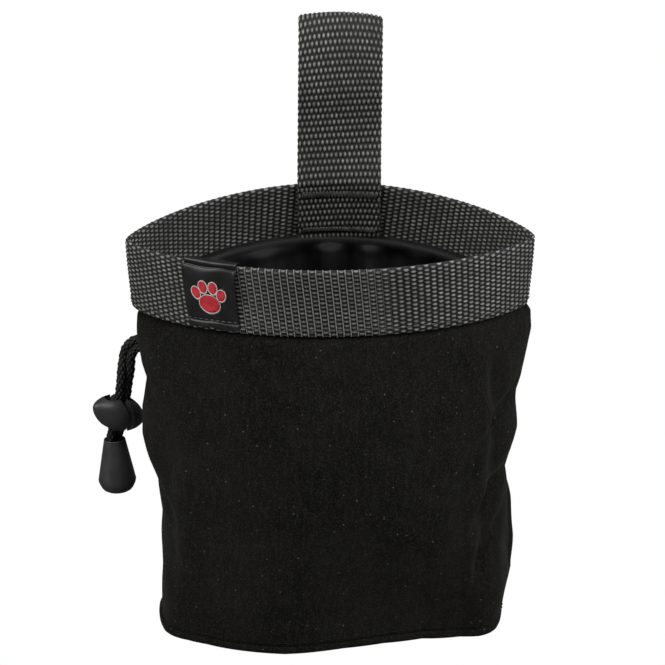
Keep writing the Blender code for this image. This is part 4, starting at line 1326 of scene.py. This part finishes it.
def turned(name, material, profile, centre, axis, hint):
    """A turned piece: profile is (radius, height) from the top down the outer side."""
    steps = 96
    basis = np.array([list(v) for v in axes(axis, hint)])
    turn = np.linspace(0, TAU, steps, endpoint=False)
    profile = np.array(profile)
    rr, tt = np.meshgrid(profile[:, 0], turn, indexing="ij")
    local = np.stack([rr * np.cos(tt), rr * np.sin(tt), np.repeat(profile[:, 1:2], steps, 1)], -1)
    points = local @ basis + np.array(list(centre))
    piece = grid_piece(name, points, material, False, True)
    with editing(piece) as build:
        bmesh.ops.remove_doubles(build, verts=build.verts, dist=0.000002)
    smooth_but(piece, 50)
    return piece


def smooth_but(piece, degrees):
    """Smooth shading, with edges sharper than this angle kept."""
    piece.data.shade_smooth()
    piece.data.set_sharp_from_angle(angle=math.radians(degrees))


def arc(centre_r, centre_h, radius, start, end, count=6):
    """Points of a small round edge in a turned profile, angles in degrees from +R to +height."""
    turn = np.radians(np.linspace(start, end, count))
    return [(centre_r + radius * math.cos(t), centre_h + radius * math.sin(t)) for t in turn]


LOCK_HALF_LENGTH = 0.0113
LOCK_RADIUS = 0.0066


def egg_radius(along):
    share = np.minimum(1.0, np.abs(along) / LOCK_HALF_LENGTH)
    return LOCK_RADIUS * (1 - share**1.9) ** 0.68


LOCK_TILT = math.radians(20.0)
SPLIT_LEAN = math.radians(42.0)
SPLIT_GAP = 0.0023
EGG_AXIS = (LOCK_LONG * math.cos(LOCK_TILT) - DOWN * math.sin(LOCK_TILT)).normalized()
EGG_CENTRE = LOCK_CENTRE + EGG_AXIS * 0.0010 + DOWN * 0.0027
SPLIT_NORMAL = Matrix.Rotation(SPLIT_LEAN, 3, Vector((0.0, -0.94, 0.34))) @ EGG_AXIS
# places along the egg's axis: the bore runs out through the split, the stem into the button
BORE_RADIUS, BORE_END, BORE_MOUTH = 0.0041, -0.0070, 0.012
STEM_RADIUS, STEM_END, STEM_ROOT = 0.0034, -0.0040, 0.0040
# length, width and shift of each part's slot; the button's leaves the strands free when pressed
BARREL_SLOT = (0.0088, 0.0048, 0.0)
BUTTON_SLOT = (0.0122, 0.0050, 0.0012)
SPRING_TURNS, SPRING_RADIUS, SPRING_WIRE_RADIUS = 4.0, 0.0026, 0.00022


def cutter(name, build, z_axis, x_hint, centre):
    """A hidden solid placed with its own Z along z_axis, for cutting another piece."""
    mesh = bpy.data.meshes.new(name)
    build.to_mesh(mesh)
    build.free()
    piece = add_object(name, mesh)
    matrix = Matrix(axes(z_axis, x_hint)).transposed().to_4x4()
    matrix.translation = centre
    piece.matrix_world = matrix
    return piece


def combine(piece, operation, *solids):
    """Cuts these solids from a piece or joins them to it, and removes them."""
    for solid in solids:
        change = piece.modifiers.new(solid.name, "BOOLEAN")
        change.operation = operation
        change.solver = "EXACT"
        change.object = solid
    apply_modifiers(piece)
    for solid in solids:
        bpy.data.objects.remove(solid)


def slot_block(length, width, shift):
    """The slot for both strands, cut through along the cord, shifted towards the button."""
    build = bmesh.new()
    bmesh.ops.create_cube(build, size=1.0)
    bmesh.ops.scale(build, vec=(length, width, 0.030), verts=build.verts)
    upright = [e for e in build.edges if abs(e.verts[0].co.z - e.verts[1].co.z) > 0.01]
    bmesh.ops.bevel(build, geom=upright, offset=width * 0.46, segments=8, affect="EDGES",
                    profile=0.5)
    return cutter("slot", build, DOWN, LOCK_LONG, LOCK_CENTRE + LOCK_LONG * shift)


def rod(radius, start, end):
    """A straight rod along the lock's long axis, between two places on it."""
    build = bmesh.new()
    bmesh.ops.create_cone(build, cap_ends=True, segments=64, radius1=radius, radius2=radius,
                          depth=end - start)
    return cutter("rod", build, EGG_AXIS, DOWN, EGG_CENTRE + EGG_AXIS * (start + end) / 2)


def egg_part(name, place, keep_tip):
    """The egg on one side of the slanting split, with a rounded edge."""
    ends = np.linspace(0, math.pi, 60)
    along = LOCK_HALF_LENGTH * np.cos(ends)
    profile = [(float(egg_radius(a)), float(a)) for a in along]
    profile[0], profile[-1] = (0.0, LOCK_HALF_LENGTH), (0.0, -LOCK_HALF_LENGTH)
    egg = turned(name, PLASTIC, profile, EGG_CENTRE, EGG_AXIS, DOWN)
    with editing(egg) as build:
        everything = list(build.verts) + list(build.edges) + list(build.faces)
        bmesh.ops.bisect_plane(
            build, geom=everything, dist=0.0000005, plane_co=EGG_CENTRE + SPLIT_NORMAL * place,
            plane_no=SPLIT_NORMAL, clear_inner=keep_tip, clear_outer=not keep_tip,
        )
        rim = open_edges(build)
        bmesh.ops.holes_fill(build, edges=rim, sides=0)
        bmesh.ops.bevel(build, geom=[e for e in rim if e.is_valid], offset=0.0005, segments=4,
                        affect="EDGES", profile=0.5, clamp_overlap=True)
    return egg


def make_lock():
    """The cord lock: a smooth egg split on a slant into the barrel and the plunger's button."""
    barrel = egg_part("lock_barrel", -SPLIT_GAP / 2, False)
    bore = rod(BORE_RADIUS, BORE_END, BORE_MOUTH)
    combine(barrel, "DIFFERENCE", bore, slot_block(*BARREL_SLOT))
    smooth_but(barrel, 35)
    settle(barrel, "cord_lock", "plastic", "cord_lock_barrel")

    button = egg_part("lock_button", SPLIT_GAP / 2, True)
    stem = rod(STEM_RADIUS, STEM_END, STEM_ROOT)
    stem.data.materials.append(PLASTIC)
    combine(button, "UNION", stem)
    combine(button, "DIFFERENCE", slot_block(*BUTTON_SLOT))
    smooth_but(button, 35)
    settle(button, "lock_plunger", "plastic", "cord_lock_plunger")
    make_spring()


def make_spring():
    """The lock's steel spring between the bore's floor and the plunger's stem."""
    steps = 160
    low, high = BORE_END + 0.0003, STEM_END - 0.0011
    other, side, axis = (np.array(list(v)) for v in axes(EGG_AXIS, DOWN))
    share = np.linspace(0, 1, steps)[:, None]
    turn = share * SPRING_TURNS * TAU
    line = (
        np.array(list(EGG_CENTRE)) + axis * (low + (high - low) * share)
        + (side * np.cos(turn) + other * np.sin(turn)) * SPRING_RADIUS
    )
    curve = bpy.data.curves.new("spring", "CURVE")
    curve.dimensions = "3D"
    curve.bevel_depth = SPRING_WIRE_RADIUS
    curve.use_fill_caps = True
    spline = curve.splines.new("POLY")
    spline.points.add(steps - 1)
    for spot, point in zip(spline.points, line):
        spot.co = (*point, 1.0)
    draft = add_object("spring_draft", curve)
    bpy.context.view_layer.update()
    graph = bpy.context.evaluated_depsgraph_get()
    mesh = bpy.data.meshes.new_from_object(draft.evaluated_get(graph), depsgraph=graph)
    bpy.data.objects.remove(draft)
    mesh.materials.clear()
    mesh.materials.append(STEEL)
    spring = add_object("lock_spring", mesh)
    settle(spring, "cord_lock", "spring_steel", "cord_lock_spring")
    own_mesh(spring)


def paint(node, material):
    """Gives a CAD node that stays a finished material."""
    piece = frame["nodes"][node]
    for slot in piece.material_slots:
        slot.link = "OBJECT"
        slot.material = material
    if not piece.material_slots:
        piece.data.materials.append(material)


def make_bell():
    """The cord end bell, a plain cone with a rounded foot, and the cap that closes it."""
    top, bottom, hole = 0.00390, 0.00680, 0.0033
    body_end = -0.0175
    cavity = 0.0047
    foot = [(bottom, -0.0154), (0.00672, -0.0160), (0.00648, -0.0168), (0.00612, body_end)]
    side = [(top + (bottom - top) * k / 12, -0.0004 - 0.0150 * k / 12) for k in range(12)]
    bell = turned("end_bell", PLASTIC, (
        [(hole, -0.0004)] + arc(hole + 0.0003, -0.0003, 0.0003, 180, 90, 4)
        + arc(top - 0.0003, -0.0003, 0.0003, 90, 0, 4) + side + foot
        + [(cavity, body_end), (cavity, -0.0140), (hole + 0.0006, -0.0060), (hole, -0.0050),
           (hole, -0.0004)]
    ), BELL_MOUTH + BELL_SHIFT, -BELL_LEAN, EXIT_OUT)
    settle(bell, "cord_drop", "plastic", "cord_end_bell")
    rim = body_end - 0.00008
    cap = turned("end_cap", PLASTIC, (
        [(0.0, rim + 0.0018), (cavity - GAP, rim + 0.0018), (cavity - GAP, rim), (0.00610, rim),
         (0.00575, -0.0183), (0.00510, -0.0191), (0.00410, -0.0197), (0.00280, -0.0201),
         (0.00140, -0.0203), (0.0, -0.02035)]
    ), BELL_MOUTH + BELL_SHIFT, -BELL_LEAN, EXIT_OUT)
    settle(cap, "cord_drop", "plastic", "cord_end_cap")


def make_cords():
    """The two strands of the drawstring, the knot in the bell and the part in the casing."""
    fine = 0.00020
    for name, side in (("strand_inner", -1), ("strand_outer", 1)):
        line, run = smooth_line(strand_route(side), fine)
        piece = braided_tube(name, line)
        settle(piece, "cord_drop", "cord", "cord_" + name)
    paint("cord_knot", CORD)
    paint("drawstring_loop", CORD)


def make_eyelet():
    """The eyelet with rolled edges where the drawstring leaves the bag."""
    flange, tube, hole, thick = 0.0056, 0.0042, 0.0035, 0.0008
    eyelet = turned("rolled_eyelet", EYELET, (
        arc(hole + 0.0004, thick - 0.0004, 0.0004, 180, 90)
        + arc(flange - 0.0004, thick - 0.0004, 0.0004, 90, -40)
        + [(tube, 0.0), (tube, thick - EYELET_LENGTH), (hole, thick - EYELET_LENGTH),
           (hole, thick - 0.0004)]
    ), EXIT_POINT + EXIT_OUT * EYELET_STAND_OFF, EXIT_OUT, UP)
    settle(eyelet, "pouch", "eyelet_metal", "eyelet")


# ---- camera, lights and floor ----
def look_at(piece, target):
    direction = Vector(target) - piece.location
    piece.rotation_mode = "QUATERNION"
    piece.rotation_quaternion = direction.to_track_quat("-Z", "Y")


CAMERA_ELEVATION = math.radians(19.0)
CAMERA_DISTANCE = 1.30
CAMERA_TARGET = Vector((0.0009, 0.0, 0.1050))
CAMERA_LENS, CAMERA_SENSOR = 200.0, 36.0
# name, azimuth from the camera's side towards the right, elevation, distance, size, watts, colour
LAMPS = (
    ("left_box", -70, 32, 0.72, (0.34, 0.50), 3.3, (1.0, 0.99, 0.97)),
    ("right_box", 70, 32, 0.72, (0.34, 0.50), 3.9, (0.97, 0.98, 1.0)),
    ("top_box", 0, 60, 0.85, (0.55, 0.45), 4.3, (1.0, 1.0, 1.0)),
)
LAMP_TARGET = Vector((0, 0, 0.09))


def make_camera():
    """The photo's view: level with the bag's middle line, from a little above its front."""
    data = bpy.data.cameras.new("camera")
    data.lens = CAMERA_LENS
    data.sensor_width = CAMERA_SENSOR
    data.clip_start, data.clip_end = 0.05, 30.0
    camera = add_object("camera", data)
    back = Vector((0, -math.cos(CAMERA_ELEVATION), math.sin(CAMERA_ELEVATION)))
    camera.location = CAMERA_TARGET + back * CAMERA_DISTANCE
    look_at(camera, CAMERA_TARGET)
    bpy.context.scene.camera = camera


def softbox(name, azimuth, elevation, distance, size, power, colour):
    """A soft rectangular lamp that faces the bag."""
    data = bpy.data.lights.new(name, "AREA")
    data.shape = "RECTANGLE"
    data.size, data.size_y = size
    data.energy = power
    data.color = colour
    lamp = add_object(name, data)
    a, e = math.radians(azimuth), math.radians(elevation)
    lamp.location = Vector((
        math.sin(a) * math.cos(e), -math.cos(a) * math.cos(e), math.sin(e)
    )) * distance + LAMP_TARGET
    look_at(lamp, LAMP_TARGET)


def make_light():
    """Three lamps, and a world that is white to the camera and dim to everything else."""
    for lamp in LAMPS:
        softbox(*lamp)
    world = bpy.data.worlds.new("studio")
    bpy.context.scene.world = world
    world.use_nodes = True
    tree = world.node_tree
    shade = tree.nodes["Background"]
    shade.inputs["Color"].default_value = (0.95, 0.97, 1.0, 1.0)
    shade.inputs["Strength"].default_value = 0.10
    seen = tree.nodes.new("ShaderNodeBackground")
    seen.inputs["Color"].default_value = (1, 1, 1, 1)
    seen.inputs["Strength"].default_value = 1.0
    path = tree.nodes.new("ShaderNodeLightPath")
    mix = tree.nodes.new("ShaderNodeMixShader")
    tree.links.new(path.outputs["Is Camera Ray"], mix.inputs[0])
    tree.links.new(shade.outputs[0], mix.inputs[1])
    tree.links.new(seen.outputs[0], mix.inputs[2])
    tree.links.new(mix.outputs[0], tree.nodes["World Output"].inputs[0])


def make_floor():
    """The floor: white to the camera, dark to reflections, light grey to the rest."""
    size = 6.0
    mesh = bpy.data.meshes.new("floor")
    corners = [(-size, -size, 0), (size, -size, 0), (size, size, 0), (-size, size, 0)]
    mesh.from_pydata(corners, [], [(0, 1, 2, 3)])
    floor = add_object("floor", mesh)
    floor.location.z = -0.0002
    n = Nodes("floor")
    n.finish(colour=rgb(0.62, 0.62, 0.62), roughness=0.9, specular=0.1)
    dull = n.add("BsdfDiffuse")
    dull.inputs["Color"].default_value = rgb(0.12, 0.12, 0.12)
    glow = n.add("Emission")
    glow.inputs["Strength"].default_value = 1.0
    path = n.add("LightPath")
    reflected = n.add("MixShader")
    n.link(path.outputs["Is Glossy Ray"], reflected.inputs[0])
    n.link(n.shader.outputs[0], reflected.inputs[1])
    n.link(dull.outputs[0], reflected.inputs[2])
    both = n.add("MixShader")
    n.link(path.outputs["Is Camera Ray"], both.inputs[0])
    n.link(reflected.outputs[0], both.inputs[1])
    n.link(glow.outputs[0], both.inputs[2])
    n.link(both.outputs[0], n.tree.nodes["Material Output"].inputs["Surface"])
    mesh.materials.append(n.material)


def main():
    bpy.context.scene.view_settings.view_transform = "Standard"
    make_camera()
    make_light()
    make_floor()
    make_bell()
    make_lock()
    make_cords()
    make_eyelet()
    make_rim()
    make_strap()
    make_strap_stitches()
    make_bag()
    make_base()
    make_seams()
    make_lining()
    make_label()
    make_emblem()


main()
bpy.context.view_layer.update()
